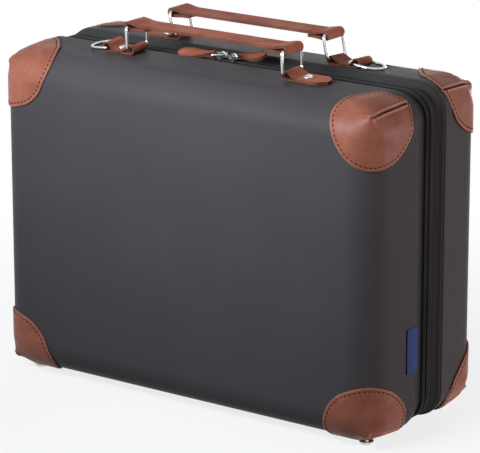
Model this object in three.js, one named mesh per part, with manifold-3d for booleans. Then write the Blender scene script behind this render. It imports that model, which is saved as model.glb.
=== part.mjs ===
// A trunk-style attache case in millimetres, +Z up, standing on its feet on Z = 0.
// Two deep moulded shells meet at a recessed zip band. Leather caps cover the corners, and each
// shell carries a strap handle on two wire rings. X is the width, -Y the front, +Z the top.
// The rear half is the front half turned half way round Z, as the real shells are alike.
import * as THREE from "three";
import { mergeVertices } from "three/addons/utils/BufferGeometryUtils.js";
import Module from "manifold-3d";

const wasm = await Module();
wasm.setup();

// Shells: the big face before its edges are rounded, the depth to the rim, and the wall
const FACE_WIDTH = 379;
const FACE_HEIGHT = 278;
const SHELL_DEPTH = 63;
const DRAFT = 3.8; // how far the sides splay out from the face to the rim
const EDGE_RADIUS = 26;
const WALL = 2.2;
const BAND_WIDTH = 39; // between the two rims
const FACE_LIFT = 7; // from the ground to the lower edge of the face
const GAP = 0.3; // between pieces that touch
const ARC_STEPS = 6; // facets in a quarter round of the shells
const LINING_STEPS = 3; // and of the linings

// Leather corner caps
const LEATHER_GAP = 0.85; // under the cap, which is a faceted sheet over a round corner
const LEATHER = 1.3;
const APEX_INSET = 7.4; // the pinched tip, in from the sharp corner along each edge
const DART_LIP = 1.3; // each raised lip, from the seam line
const DART_RAISE = 0.4;
const DART_SINK = 1.0;
const CAP_SIZE = 34; // how far it reaches from the tip, as seen along the corner's diagonal
// Each cap's outline as shares of that size: along the width, over the top, along the depth,
// over the end, along the height, over the big face
const CAP_OUTLINES = {
  topLeft: [1.13, 1.01, 1.31, 0.99, 1.02, 0.96],
  topRight: [0.89, 0.95, 1.29, 1.05, 1.05, 0.83],
  bottomLeft: [1.12, 0.94, 1.19, 0.89, 1.06, 0.98],
  bottomRight: [0.99, 0.97, 1.2, 0.97, 1.04, 0.9],
};

// Zip band: depths are measured in from the rim's outer surface
const BINDING_INSIDE = 7; // of the binding, behind the rim
const BINDING_SHOWN = 3.4; // of the binding, past the rim
const BINDING_THICK = 1.6;
const TAPE_THICK = 1;
const TAPE_INSIDE = 8;
const TEETH_WIDTH = 5;
const TEETH_THICK = 1.6;
const TEETH_STEP = 15; // the row is ridged coarsely, a step up and a step down
const ZIP_SLOT = 1.6; // between the two rows, where the slider's post runs
const ZIP_TAIL = 17; // how far the zip runs on past each bottom corner
const HINGE_BAND_THICK = 1.4;

// Hardware on the top of each shell
const HARDWARE_Y = 32; // middle of tabs, rings and handle, from the zip line
const RING_X = 78.8; // pivot of each handle ring, from the middle
const TAB_WIDTH = 20;
const TAB_LEATHER = 1.6;
const TAB_TONGUE = 37; // from the ring's bar to the pointed end
const TAB_CHAMFER = 7;
const PLY_GAP = 0.25; // between two plies of folded leather
const RING_WIRE = 1.6; // radius
const TAB_BORE = 2.5; // radius inside the tab's fold that holds the ring
const RING_LIFT = 0.5; // of the ring's bar, above the middle of that fold
const RING_BORE = 2; // radius inside the strap's fold round the ring
const RING_WIDTH = 27.4; // between the middles of its legs
const RING_HEIGHT = 20; // between the middles of its bars
const RING_BEND = 3;
const RIVET_X = 15.5; // from the ring's bar
const RIVET_HEAD = 4.2;
const RIVET_SHANK = 1.6;
const RIVET_MARGIN = 2.5; // of flat leather before the head
const RIVET_HOLE = 1.9;
const RIVET_WASHER = 4.8;
const WASHER_THICK = 1;
const CLINCH_RADIUS = 2.7;
const CLINCH_THICK = 0.8;
const STRAP_WIDTH = 23;
const STRAP_LEATHER = 2.8;
const STRAP_FLAP = 17.5; // the end turned back under the strap
const STRAP_DIP = 1.4; // from the top of its folds down to the straight part
const STRAP_EASE = 10; // from a ring's bar to where the strap is straight
const FLAP_DIP = 0.3; // the flap hangs a little lower near its fold
const D_BAR_X = 24.5; // from the ring's bar to the D-ring's bar
const D_WIRE = 1.5;
const D_BORE = 1.9;
const D_WIDTH = 24;
const D_ARM = 8.5;
const REAR_LEAN = 14; // degrees: the rear handle leans to the left of the case

// Zip sliders and pulls
const ZIP_MEET = -7.5; // where the two sliders meet
const SLIDER_X = 5.7; // middle of each slider, from there
const SLIDER_LENGTH = 10.6;
const SLIDER_PLATE = 1.6;
const SLIDER_MARGIN = 0.35; // above the teeth and beside them
const SLIDER_POST = 0.9;
const ARCH_LENGTH = 7.8;
const ARCH_WIDTH = 2.6;
const ARCH_OPENING = 4.2;
const ARCH_CLEAR = 2.5;
const ARCH_TOP = 1.2;
const LINK_WIRE = 0.9;
const LINK_NARROW = 5.4;
const LINK_WIDE = 9.6;
const LINK_LENGTH = 9.2;
const PULL_LEATHER = 1.3;
const PULL_BORE = 1.25;
const PULL_LENGTH = 31;
const PULL_END_RADIUS = 6.9;
const PULL_NECK = 6.6;
const PULL_SWING = 15.5; // degrees, towards the front
const LEFT_DROOP = 2; // degrees: the left pull lies down
const RIGHT_DROOP = -10; // and the right one sticks up

// Feet, lining and side tag
const FOOT_INSET = 21.5; // in from the ends of the face
const FOOT_BACK = 25.5; // back from the face
const FOOT_RADIUS = 6;
const FOOT_FLAT = 2.6; // radius of its flat tip
const LINING_THICK = 1.5;
const LINING_POCKET = 6.2; // radius of each pocket round a rivet's end
const TAG_WIDTH = 16.4;
const TAG_HEIGHT = 40;
const TAG_THICK = 0.8;
const TAG_BOTTOM = 50; // above the lower edge of the face
const TAG_CORNER = 1.5;

// Worked out from the sizes above
const RIM_Y = BAND_WIDTH / 2;
const FACE_Y = RIM_Y + SHELL_DEPTH;
const MIDDLE_Z = FACE_LIFT + FACE_HEIGHT / 2;
const FOOT_X = FACE_WIDTH / 2 - FOOT_INSET;
const FOOT_Y = FACE_Y - FOOT_BACK;
const SLOPE = DRAFT / SHELL_DEPTH;
const SLOPE_ANGLE = Math.atan(SLOPE);
const RIM_TOP = FACE_LIFT + FACE_HEIGHT + DRAFT;
const BINDING_TOP = WALL + GAP + SLOPE * TAPE_INSIDE;
const TAPE_TOP = BINDING_TOP + BINDING_THICK + GAP;
const TEETH_TOP = TAPE_TOP - 2 * GAP - TEETH_THICK;

const material = (color, roughness, metalness = 0) =>
  new THREE.MeshStandardMaterial({ color, roughness, metalness });
const MATERIALS = {
  shell: material(0x45444a, 0.45),
  leather: material(0xa8664f, 0.6),
  fabric: material(0x2c2c2e, 0.9),
  teeth: material(0x1d1d1f, 0.5),
  chrome: material(0xd8d8da, 0.15, 1),
  foot: material(0xc9c9cc, 0.2, 0.8),
  lining: material(0x3a3a3e, 0.95),
  tag: material(0x3f5f9c, 0.85),
};

// A closed three.js geometry as a manifold-3d solid, turned right side out
function solidOf(geometry) {
  const bare = geometry.clone();
  bare.deleteAttribute("normal");
  bare.deleteAttribute("uv");
  const merged = mergeVertices(bare, 1e-4);
  const index = merged.index.array;
  const faces = [];
  for (let i = 0; i < index.length; i += 3) {
    const [a, b, c] = [index[i], index[i + 1], index[i + 2]];
    if (a !== b && b !== c && c !== a) faces.push(a, b, c);
  }
  const build = (triangles) =>
    new wasm.Manifold(
      new wasm.Mesh({
        numProp: 3,
        vertProperties: new Float32Array(merged.attributes.position.array),
        triVerts: new Uint32Array(triangles),
      }),
    );
  const made = build(faces);
  if (made.volume() > 0) return made;
  for (let i = 0; i < faces.length; i += 3) {
    [faces[i], faces[i + 1]] = [faces[i + 1], faces[i]];
  }
  return build(faces);
}

function geometryOf(solid) {
  const mesh = solid.getMesh();
  const positions = new Float32Array(mesh.numVert * 3);
  for (let i = 0; i < mesh.numVert; i++) {
    const start = i * mesh.numProp;
    positions.set(mesh.vertProperties.subarray(start, start + 3), i * 3);
  }
  const geometry = new THREE.BufferGeometry();
  geometry.setAttribute("position", new THREE.BufferAttribute(positions, 3));
  geometry.setIndex(new THREE.BufferAttribute(mesh.triVerts, 1));
  geometry.computeVertexNormals();
  return geometry;
}

function add(group, name, solid, finish) {
  const mesh = new THREE.Mesh(geometryOf(solid), finish);
  mesh.name = name;
  group.add(mesh);
  return mesh;
}

// Triangles over a flat ring of points, wound the way the ring runs
function cap(ring) {
  const normal = new THREE.Vector3();
  ring.forEach((p, i) => {
    const q = ring[(i + 1) % ring.length];
    normal.x += (p.y - q.y) * (p.z + q.z);
    normal.y += (p.z - q.z) * (p.x + q.x);
    normal.z += (p.x - q.x) * (p.y + q.y);
  });
  const size = [Math.abs(normal.x), Math.abs(normal.y), Math.abs(normal.z)];
  const drop = size.indexOf(Math.max(...size));
  const axes = ["x", "y", "z"];
  const [a, b] = [axes[(drop + 1) % 3], axes[(drop + 2) % 3]];
  const flat = ring.map((p) => new THREE.Vector2(p[a], p[b]));
  const forward = normal.getComponent(drop) > 0;
  return THREE.ShapeUtils.triangulateShape(flat, []).map(([i, j, k]) => {
    const [p, q, r] = [flat[i], flat[j], flat[k]];
    const area = (q.x - p.x) * (r.y - p.y) - (q.y - p.y) * (r.x - p.x);
    return area > 0 === forward ? [i, j, k] : [i, k, j];
  });
}

// A solid through rings of points, each with as many points: capped at both ends, or closed
// into a loop
function loft(rings, loop = false) {
  const count = rings[0].length;
  const index = [];
  const spans = loop ? rings.length : rings.length - 1;
  for (let i = 0; i < spans; i++) {
    const a = i * count;
    const b = ((i + 1) % rings.length) * count;
    for (let j = 0; j < count; j++) {
      const k = (j + 1) % count;
      index.push(a + j, a + k, b + k, a + j, b + k, b + j);
    }
  }
  if (!loop) {
    const last = (rings.length - 1) * count;
    cap(rings[0]).forEach(([i, j, k]) => index.push(i, k, j));
    cap(rings[rings.length - 1]).forEach(([i, j, k]) =>
      index.push(last + i, last + j, last + k),
    );
  }
  const points = rings.flat().flatMap((p) => [p.x, p.y, p.z]);
  const geometry = new THREE.BufferGeometry();
  geometry.setAttribute("position", new THREE.Float32BufferAttribute(points, 3));
  geometry.setIndex(index);
  return solidOf(geometry);
}

// A rectangle with quarter-round corners in X and Z, with the outward direction at each point
function roundedOutline(halfWidth, halfHeight, radius, steps) {
  const points = [];
  for (let corner = 0; corner < 4; corner++) {
    const sx = corner === 0 || corner === 3 ? 1 : -1;
    const sz = corner < 2 ? 1 : -1;
    for (let i = 0; i <= steps; i++) {
      const angle = ((corner + i / steps) * Math.PI) / 2;
      const [nx, nz] = [Math.cos(angle), Math.sin(angle)];
      const x = sx * (halfWidth - radius) + radius * nx;
      const z = sz * (halfHeight - radius) + radius * nz;
      points.push({ x, z, nx, nz });
    }
  }
  return points;
}

// One ring of the moulding, a given distance inside its outer surface: turn is the angle round
// the edge towards the face, and depth the distance from the face past the edge
function mouldedRing(inside, depth, turn, steps) {
  const radius = EDGE_RADIUS - inside;
  const reach = turn > 0 ? EDGE_RADIUS - radius * Math.sin(turn) : depth;
  const grown = SLOPE * reach - EDGE_RADIUS + radius * Math.cos(turn);
  const corner = radius * Math.cos(turn);
  const halfWidth = FACE_WIDTH / 2 + grown;
  const halfHeight = FACE_HEIGHT / 2 + grown;
  return roundedOutline(halfWidth, halfHeight, corner, steps).map(
    (p) => new THREE.Vector3(p.x, reach - FACE_Y, p.z + MIDDLE_Z),
  );
}

// A dished tray between two distances inside the moulding's outer surface
function tray(outside, inside, rimDepth, steps) {
  const turns = Array.from({ length: steps + 1 }, (_, i) => ((steps - i) / steps) * (Math.PI / 2));
  const outer = turns.map((turn) => mouldedRing(outside, EDGE_RADIUS, turn, steps));
  const inner = turns.map((turn) => mouldedRing(inside, EDGE_RADIUS, turn, steps));
  outer.push(mouldedRing(outside, rimDepth, 0, steps));
  inner.push(mouldedRing(inside, rimDepth, 0, steps));
  return loft([...outer, ...inner.reverse()]);
}

// An upright rod of a given radius between two heights
function rod(radius, low, high, sides = 12) {
  const geometry = new THREE.CylinderGeometry(radius, radius, high - low, sides);
  geometry.rotateX(Math.PI / 2);
  geometry.translate(0, 0, (low + high) / 2);
  return geometry;
}

const placed = (geometry, matrix) => solidOf(geometry.clone().applyMatrix4(matrix));

// The frame of the hardware on the top of the front shell: its origin lies on the surface,
// and it leans with the draft
function hardwareMatrix(x) {
  const y = -HARDWARE_Y;
  const z = FACE_LIFT + FACE_HEIGHT + SLOPE * (FACE_Y - HARDWARE_Y);
  return new THREE.Matrix4().makeRotationX(SLOPE_ANGLE).setPosition(x, y, z);
}

// The frame of a foot: its origin is where the foot meets the ground
const footMatrix = (x) => new THREE.Matrix4().makeTranslation(x, -FOOT_Y, 0);

// The moulding's bottom surface above a point, on or inside the outer surface
function bottomHeight(x, y, inside) {
  const depth = FACE_Y + y;
  const across = Math.max(0, EDGE_RADIUS - (FACE_WIDTH / 2 - Math.abs(x) + SLOPE * depth));
  const along = Math.max(0, EDGE_RADIUS - depth);
  const rise = Math.sqrt((EDGE_RADIUS - inside) ** 2 - across ** 2 - along ** 2);
  return FACE_LIFT - SLOPE * depth + EDGE_RADIUS - rise;
}

const SIDES = [-1, 1];
const rivetPlaces = SIDES.map((side) => hardwareMatrix(side * (RING_X + RIVET_X)));

function shellSolid() {
  let solid = tray(0, WALL, SHELL_DEPTH, ARC_STEPS);
  rivetPlaces.forEach((place) => {
    solid = solid.subtract(placed(rod(RIVET_HOLE, -3 * WALL, WALL), place));
  });
  SIDES.forEach((side) => {
    const hole = rod(RIVET_HOLE, 0, FACE_LIFT + 4 * WALL);
    solid = solid.subtract(placed(hole, footMatrix(side * FOOT_X)));
  });
  return solid;
}

// The lining is set back from the rim to leave the binding and the tape their seat
function liningSolid() {
  const outside = WALL + GAP;
  const rimDepth = SHELL_DEPTH - TAPE_INSIDE - 2;
  let solid = tray(outside, outside + LINING_THICK, rimDepth, LINING_STEPS);
  const reach = outside + 3 * LINING_THICK;
  rivetPlaces.forEach((place) => {
    solid = solid.subtract(placed(rod(LINING_POCKET, -reach, 0), place));
  });
  SIDES.forEach((side) => {
    const pocket = rod(LINING_POCKET, FACE_LIFT - DRAFT, FACE_LIFT + reach);
    solid = solid.subtract(placed(pocket, footMatrix(side * FOOT_X)));
  });
  return solid;
}

// Leather corner cap. The corner's own coordinates run in from its sharp corner: u along the
// width, v along the depth and w along the height, with the diagonal equally far from all three.
const ALONG_DIAGONAL = new THREE.Vector3(1, 1, 1).normalize();
const TOWARDS_WIDTH = new THREE.Vector3(2, -1, -1).normalize();
const TOWARDS_DEPTH = new THREE.Vector3(0, 1, -1).normalize();
const DART_ANGLE = (2 * Math.PI) / 3;

// A smooth closed curve through an outline's six reaches
function capReach(outline, angle) {
  const count = outline.length;
  const place = ((angle / (2 * Math.PI)) * count + count) % count;
  const i = Math.floor(place);
  const t = place - i;
  const value = (k) => CAP_SIZE * outline[(i + k + count) % count];
  const [a, b, c, d] = [value(-1), value(0), value(1), value(2)];
  const slopeIn = (c - a) / 2;
  const slopeOut = (d - b) / 2;
  const cubic = 2 * b - 2 * c + slopeIn + slopeOut;
  const square = -3 * b + 3 * c - 2 * slopeIn - slopeOut;
  return ((cubic * t + square) * t + slopeIn) * t + b;
}

// The distance along the diagonal at which a line meets the moulding, offset outwards
function diagonalDistance(across, offset) {
  let [out, within] = [-80, 160];
  for (let i = 0; i < 40; i++) {
    const middle = (out + within) / 2;
    const p = across.clone().addScaledVector(ALONG_DIAGONAL, middle);
    const u = Math.max(0, EDGE_RADIUS - p.x - SLOPE * p.y);
    const v = Math.max(0, EDGE_RADIUS - p.y);
    const w = Math.max(0, EDGE_RADIUS - p.z - SLOPE * p.y);
    if (Math.hypot(u, v, w) > EDGE_RADIUS + offset) out = middle;
    else within = middle;
  }
  return (out + within) / 2;
}

function acrossDiagonal(angle, reach) {
  return new THREE.Vector3()
    .addScaledVector(TOWARDS_WIDTH, reach * Math.cos(angle))
    .addScaledVector(TOWARDS_DEPTH, reach * Math.sin(angle));
}

// The straight pull from the pinched tip in one direction: its slope, and how far it goes
// before the leather lies on the shell
function tipPull(outline, angle, offset) {
  const tip = APEX_INSET * Math.sqrt(3);
  const full = capReach(outline, angle);
  const pull = { slope: Infinity, until: 0 };
  for (let i = 4; i <= 48; i++) {
    const reach = (full * i) / 48;
    const distance = diagonalDistance(acrossDiagonal(angle, reach), offset);
    const slope = (distance - tip) / reach;
    if (slope < pull.slope - 1e-4) Object.assign(pull, { slope, until: reach });
  }
  return pull;
}

// Angles of the spokes round the cap: even ones, and five at set distances from the dart
const EVEN_SPOKES = 17;
const DART_SPREAD = 0.33;
function spokeAngles(reach) {
  const lips = [-2, -1, 0, 1, 2].map((step) => {
    const sideways = Math.min(0.95, Math.abs(step * DART_LIP) / reach);
    const angle = Math.min(Math.asin(sideways), (DART_SPREAD * Math.abs(step)) / 3);
    const sink = step === 0 ? DART_SINK : Math.abs(step) === 1 ? -DART_RAISE : 0;
    return { angle: DART_ANGLE + Math.sign(step) * angle, sink };
  });
  const span = 2 * Math.PI - 2 * DART_SPREAD;
  const even = Array.from({ length: EVEN_SPOKES }, (_, i) => ({
    angle: DART_ANGLE + DART_SPREAD + (span * i) / (EVEN_SPOKES - 1),
    sink: 0,
  }));
  return [...lips, ...even];
}

function capRing(outline, share, offset, pinched) {
  const spokes = spokeAngles(Math.max(1, capReach(outline, DART_ANGLE) * share));
  return spokes.map(({ angle, sink }) => {
    const reach = capReach(outline, angle) * share;
    const across = acrossDiagonal(angle, reach);
    let distance = diagonalDistance(across, offset);
    if (pinched) {
      const { slope, until } = tipPull(outline, angle, offset);
      if (reach < until) distance = APEX_INSET * Math.sqrt(3) + slope * reach;
      distance += sink * Math.min(1, share * 4);
    }
    return across.addScaledVector(ALONG_DIAGONAL, distance);
  });
}

function cornerCapSolid(sideX, sideZ) {
  const outline = CAP_OUTLINES[(sideZ > 0 ? "top" : "bottom") + (sideX > 0 ? "Right" : "Left")];
  const outer = LEATHER_GAP + LEATHER;
  const outerShares = [1, 0.79, 0.56, 0.34, 0.13];
  const innerShares = [0.22, 0.42, 0.62, 0.82, 1];
  const rings = [
    ...innerShares.map((share) => capRing(outline, share, LEATHER_GAP, false)),
    ...outerShares.map((share) => capRing(outline, share, outer, true)),
  ];
  const points = rings.flat();
  const count = rings[0].length;
  const index = [];
  for (let i = 0; i + 1 < rings.length; i++) {
    for (let j = 0; j < count; j++) {
      const [a, b] = [i * count + j, i * count + ((j + 1) % count)];
      index.push(a, b, b + count, a, b + count, a + count);
    }
  }
  const inner = new THREE.Vector3();
  const innerTip = inner.addScaledVector(ALONG_DIAGONAL, diagonalDistance(inner, LEATHER_GAP));
  const tip = new THREE.Vector3(APEX_INSET, APEX_INSET, APEX_INSET);
  const last = (rings.length - 1) * count;
  points.push(innerTip, tip);
  for (let j = 0; j < count; j++) {
    const k = (j + 1) % count;
    index.push(k, j, points.length - 2);
    index.push(last + j, last + k, points.length - 1);
  }
  const coordinates = points.flatMap((p) => [
    sideX * (FACE_WIDTH / 2 - p.x),
    p.y - FACE_Y,
    MIDDLE_Z + sideZ * (FACE_HEIGHT / 2 - p.z),
  ]);
  const geometry = new THREE.BufferGeometry();
  geometry.setAttribute("position", new THREE.Float32BufferAttribute(coordinates, 3));
  geometry.setIndex(index);
  const solid = solidOf(geometry);
  if (sideZ > 0) return solid;
  return solid.subtract(placed(rod(RIVET_HOLE, -WALL, 2 * FACE_LIFT), footMatrix(sideX * FOOT_X)));
}

// The path of the zip round the case at the rims: from under one bottom corner up, over the top
// and down to the other
function zipPath(longest = Infinity) {
  const grown = FACE_WIDTH / 2 + DRAFT;
  const tall = FACE_HEIGHT / 2 + DRAFT;
  const outline = roundedOutline(grown, tall, EDGE_RADIUS, ARC_STEPS);
  const quarter = ARC_STEPS + 1;
  const tailX = grown - EDGE_RADIUS - ZIP_TAIL;
  const start = { x: tailX, z: -tall, nx: 0, nz: -1 };
  const end = { x: -tailX, z: -tall, nx: 0, nz: -1 };
  const corner = (k) => outline.slice(k * quarter, (k + 1) * quarter);
  const stations = [start, ...corner(3), ...corner(0), ...corner(1), ...corner(2), end];
  return stations.flatMap((p, i) => {
    const q = stations[i + 1];
    if (!q) return [p];
    const parts = Math.ceil(Math.hypot(q.x - p.x, q.z - p.z) / longest) || 1;
    return Array.from({ length: parts }, (_, k) => {
      const mix = (key) => p[key] + ((q[key] - p[key]) * k) / parts;
      return { x: mix("x"), z: mix("z"), nx: mix("nx"), nz: mix("nz") };
    });
  });
}

// A strip with a fixed section that runs along stations: the section's points are [y, depth
// inwards from the rim's outer surface]
function strip(stations, sectionAt) {
  return loft(
    stations.map((s, i) =>
      sectionAt(i).map(([y, depth]) => {
        const x = s.x - s.nx * depth;
        return new THREE.Vector3(x, y, s.z - s.nz * depth + MIDDLE_Z);
      }),
    ),
  );
}

function bindingSolid() {
  const [back, front] = [-RIM_Y - BINDING_INSIDE, -RIM_Y + BINDING_SHOWN];
  const [top, low] = [BINDING_TOP, BINDING_TOP + BINDING_THICK];
  const nose = BINDING_THICK / 2;
  const section = [
    [back, top],
    [front - nose, top],
    [front, top + nose],
    [front - nose, low],
    [back, low],
  ];
  return strip(zipPath(), () => section);
}

function tapeSolid() {
  const section = [
    [-RIM_Y - TAPE_INSIDE, TAPE_TOP],
    [-ZIP_SLOT / 2, TAPE_TOP],
    [-ZIP_SLOT / 2, TAPE_TOP + TAPE_THICK],
    [-RIM_Y - TAPE_INSIDE, TAPE_TOP + TAPE_THICK],
  ];
  return strip(zipPath(), () => section);
}

// Every tooth is a ridge across the row, and the inner edge steps with it
function teethSolid() {
  const section = (i) => {
    const ridge = i % 2 === 0;
    const top = TEETH_TOP + (ridge ? 0 : TEETH_THICK * 0.45);
    const inner = -ZIP_SLOT / 2 - (ridge ? 0 : 0.6);
    return [
      [-ZIP_SLOT / 2 - TEETH_WIDTH, top],
      [inner, top],
      [inner, TEETH_TOP + TEETH_THICK],
      [-ZIP_SLOT / 2 - TEETH_WIDTH, TEETH_TOP + TEETH_THICK],
    ];
  };
  return strip(zipPath(TEETH_STEP), section);
}

// The fabric hinge along the bottom: a band between the rims, and a strip sewn inside each rim
const HINGE_HALF = FACE_WIDTH / 2 + DRAFT - EDGE_RADIUS - ZIP_TAIL - 3;
function straightStrip(section) {
  const z = -FACE_HEIGHT / 2 - DRAFT;
  const stations = SIDES.map((side) => ({ x: side * HINGE_HALF, z, nx: 0, nz: -1 }));
  return strip(stations, () => section);
}

function hingeStripSolid() {
  const [back, front] = [-RIM_Y - BINDING_INSIDE, -RIM_Y - GAP];
  const low = TAPE_TOP + HINGE_BAND_THICK;
  return straightStrip([
    [back, BINDING_TOP],
    [front, BINDING_TOP],
    [front, low],
    [back, low],
  ]);
}

function hingeBandSolid() {
  const pleats = 6;
  const half = RIM_Y - GAP;
  const crest = (i) => [-half + (2 * half * i) / pleats, i % 2 ? 0.7 : 0];
  const line = Array.from({ length: pleats + 1 }, (_, i) => crest(i));
  const outer = line.map(([y, rise]) => [y, TAPE_TOP + rise - 0.4]);
  const inner = line.map(([y, rise]) => [y, TAPE_TOP + rise + HINGE_BAND_THICK - 0.4]).reverse();
  return straightStrip([...outer, ...inner]);
}

// A strip of leather folded along a path in X and Z, as wide in Y as given
function foldedStrip(path, thickness, width) {
  const side = (distance) =>
    path.map((p, i) => {
      const before = path[Math.max(0, i - 1)];
      const after = path[Math.min(path.length - 1, i + 1)];
      const inward = p.clone().sub(before).normalize();
      const onward = after.clone().sub(p).normalize();
      if (i === 0) inward.copy(onward);
      if (i === path.length - 1) onward.copy(inward);
      const along = inward.clone().add(onward).normalize();
      const stretch = distance / Math.max(0.5, along.dot(onward));
      return new THREE.Vector2(p.x - along.y * stretch, p.y + along.x * stretch);
    });
  const outline = [...side(thickness / 2), ...side(-thickness / 2).reverse()];
  const geometry = new THREE.ExtrudeGeometry(new THREE.Shape(outline), {
    depth: width,
    bevelEnabled: false,
  });
  geometry.translate(0, 0, -width / 2);
  geometry.rotateX(Math.PI / 2);
  return solidOf(geometry);
}

const at = (x, z) => new THREE.Vector2(x, z);

// Points round a fold, from one angle to another in degrees
function fold(x, z, radius, from, to, steps = 9) {
  return Array.from({ length: steps + 1 }, (_, i) => {
    const angle = THREE.MathUtils.degToRad(from + ((to - from) * i) / steps);
    return at(x + radius * Math.cos(angle), z + radius * Math.sin(angle));
  });
}

// An upright prism over an outline in X and Y
function prism(outline, low, high) {
  const shape = new THREE.Shape(outline.map(([x, y]) => at(x, y)));
  const geometry = new THREE.ExtrudeGeometry(shape, { depth: high - low, bevelEnabled: false });
  geometry.translate(0, 0, low);
  return solidOf(geometry);
}

// Heights of the tab's plies above the shell
const LOWER_PLY = GAP + TAB_LEATHER / 2;
const UPPER_PLY = LOWER_PLY + TAB_LEATHER + PLY_GAP;
const RING_FOLD = TAB_BORE + TAB_LEATHER / 2;
const FOLD_Z = LOWER_PLY + RING_FOLD;
const RING_BAR_Z = FOLD_Z + RING_LIFT;
const D_FOLD = D_BORE + TAB_LEATHER / 2;
const D_BAR_Z = LOWER_PLY + D_FOLD;
const TAB_TOP = UPPER_PLY + TAB_LEATHER / 2;
const CREST_END = 48; // degrees: where the upper ply leaves the fold over a ring
const D_CREST_START = 122; // and where it joins the fold over the D-ring

// The tab with a pointed tongue: folded round the ring's bar at X = 0, tongue towards +X
function tongueTabSolid() {
  const path = [
    at(TAB_TONGUE, LOWER_PLY),
    ...fold(0, FOLD_Z, RING_FOLD, 270, CREST_END, 8),
    at(RIVET_X - RIVET_HEAD - RIVET_MARGIN, UPPER_PLY),
    at(TAB_TONGUE, UPPER_PLY),
  ];
  const half = TAB_WIDTH / 2;
  const loop = RING_FOLD + TAB_LEATHER;
  const outline = [
    [-loop, -half],
    [TAB_TONGUE - TAB_CHAMFER, -half],
    [TAB_TONGUE, -half + TAB_CHAMFER],
    [TAB_TONGUE, half - TAB_CHAMFER],
    [TAB_TONGUE - TAB_CHAMFER, half],
    [-loop, half],
  ];
  const height = FOLD_Z + loop;
  return foldedStrip(path, TAB_LEATHER, TAB_WIDTH + 2)
    .intersect(prism(outline, -1, height))
    .subtract(solidOf(rod(RIVET_HOLE, -1, height).translate(RIVET_X, 0, 0)));
}

// The tab with two folds: one round the ring's bar at X = 0, one round the D-ring's bar
function doubleTabSolid() {
  const seam = D_BAR_X / 2;
  const path = [
    at(seam - PLY_GAP, LOWER_PLY),
    ...fold(0, FOLD_Z, RING_FOLD, 270, CREST_END, 8),
    at(RIVET_X - RIVET_HEAD - RIVET_MARGIN, UPPER_PLY),
    at(RIVET_X + RIVET_HEAD + 0.2, UPPER_PLY),
    ...fold(D_BAR_X, D_BAR_Z, D_FOLD, D_CREST_START, -90, 8),
    at(seam + PLY_GAP, LOWER_PLY),
  ];
  const drill = rod(RIVET_HOLE, -1, TAB_TOP + 1).translate(RIVET_X, 0, 0);
  return foldedStrip(path, TAB_LEATHER, TAB_WIDTH).subtract(solidOf(drill));
}

// A solid of revolution about Z from [radius, height] points
function turned(profile, sides) {
  const points = profile.map(([radius, height]) => at(radius, height));
  return solidOf(new THREE.LatheGeometry(points, sides).rotateX(Math.PI / 2));
}

// A stud with its head up: the shank goes down through everything and is clinched on a washer
function rivetSolid() {
  const head = TAB_TOP + GAP;
  const washerLow = -WALL - GAP - WASHER_THICK;
  const clinch = washerLow - GAP;
  return turned(
    [
      [0, clinch - CLINCH_THICK],
      [CLINCH_RADIUS, clinch - CLINCH_THICK / 2],
      [CLINCH_RADIUS, clinch],
      [RIVET_SHANK, clinch],
      [RIVET_SHANK, head],
      [RIVET_HEAD, head],
      [RIVET_HEAD, head + 0.5],
      [RIVET_HEAD - 1, head + 1.1],
      [0, head + 1.4],
    ],
    10,
  );
}

function washerSolid(low) {
  return turned(
    [
      [RIVET_HOLE, low],
      [RIVET_WASHER, low],
      [RIVET_WASHER, low + WASHER_THICK],
      [RIVET_HOLE, low + WASHER_THICK],
      [RIVET_HOLE, low],
    ],
    9,
  );
}

// Heights over the ground at the foot: clear of the leather under it, and of the shell's inside
function footHeights() {
  const heights = (radius, inside) =>
    Array.from({ length: 12 }, (_, i) => {
      const x = FOOT_X + radius * Math.cos((i * Math.PI) / 6);
      return bottomHeight(x, -FOOT_Y + radius * Math.sin((i * Math.PI) / 6), inside);
    });
  const leather = Math.min(...heights(FOOT_RADIUS, -LEATHER_GAP - LEATHER)) - GAP;
  const washer = Math.max(...heights(RIVET_WASHER, WALL)) + GAP;
  return { leather, washer };
}

function footSolid() {
  const { leather, washer } = footHeights();
  const clinch = washer + WASHER_THICK + GAP;
  return turned(
    [
      [0, 0],
      [FOOT_FLAT, 0],
      [FOOT_RADIUS * 0.78, leather * 0.22],
      [FOOT_RADIUS, leather * 0.7],
      [FOOT_RADIUS, leather],
      [RIVET_SHANK, leather],
      [RIVET_SHANK, clinch],
      [CLINCH_RADIUS, clinch],
      [CLINCH_RADIUS, clinch + CLINCH_THICK / 2],
      [0, clinch + CLINCH_THICK],
    ],
    10,
  );
}

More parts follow.
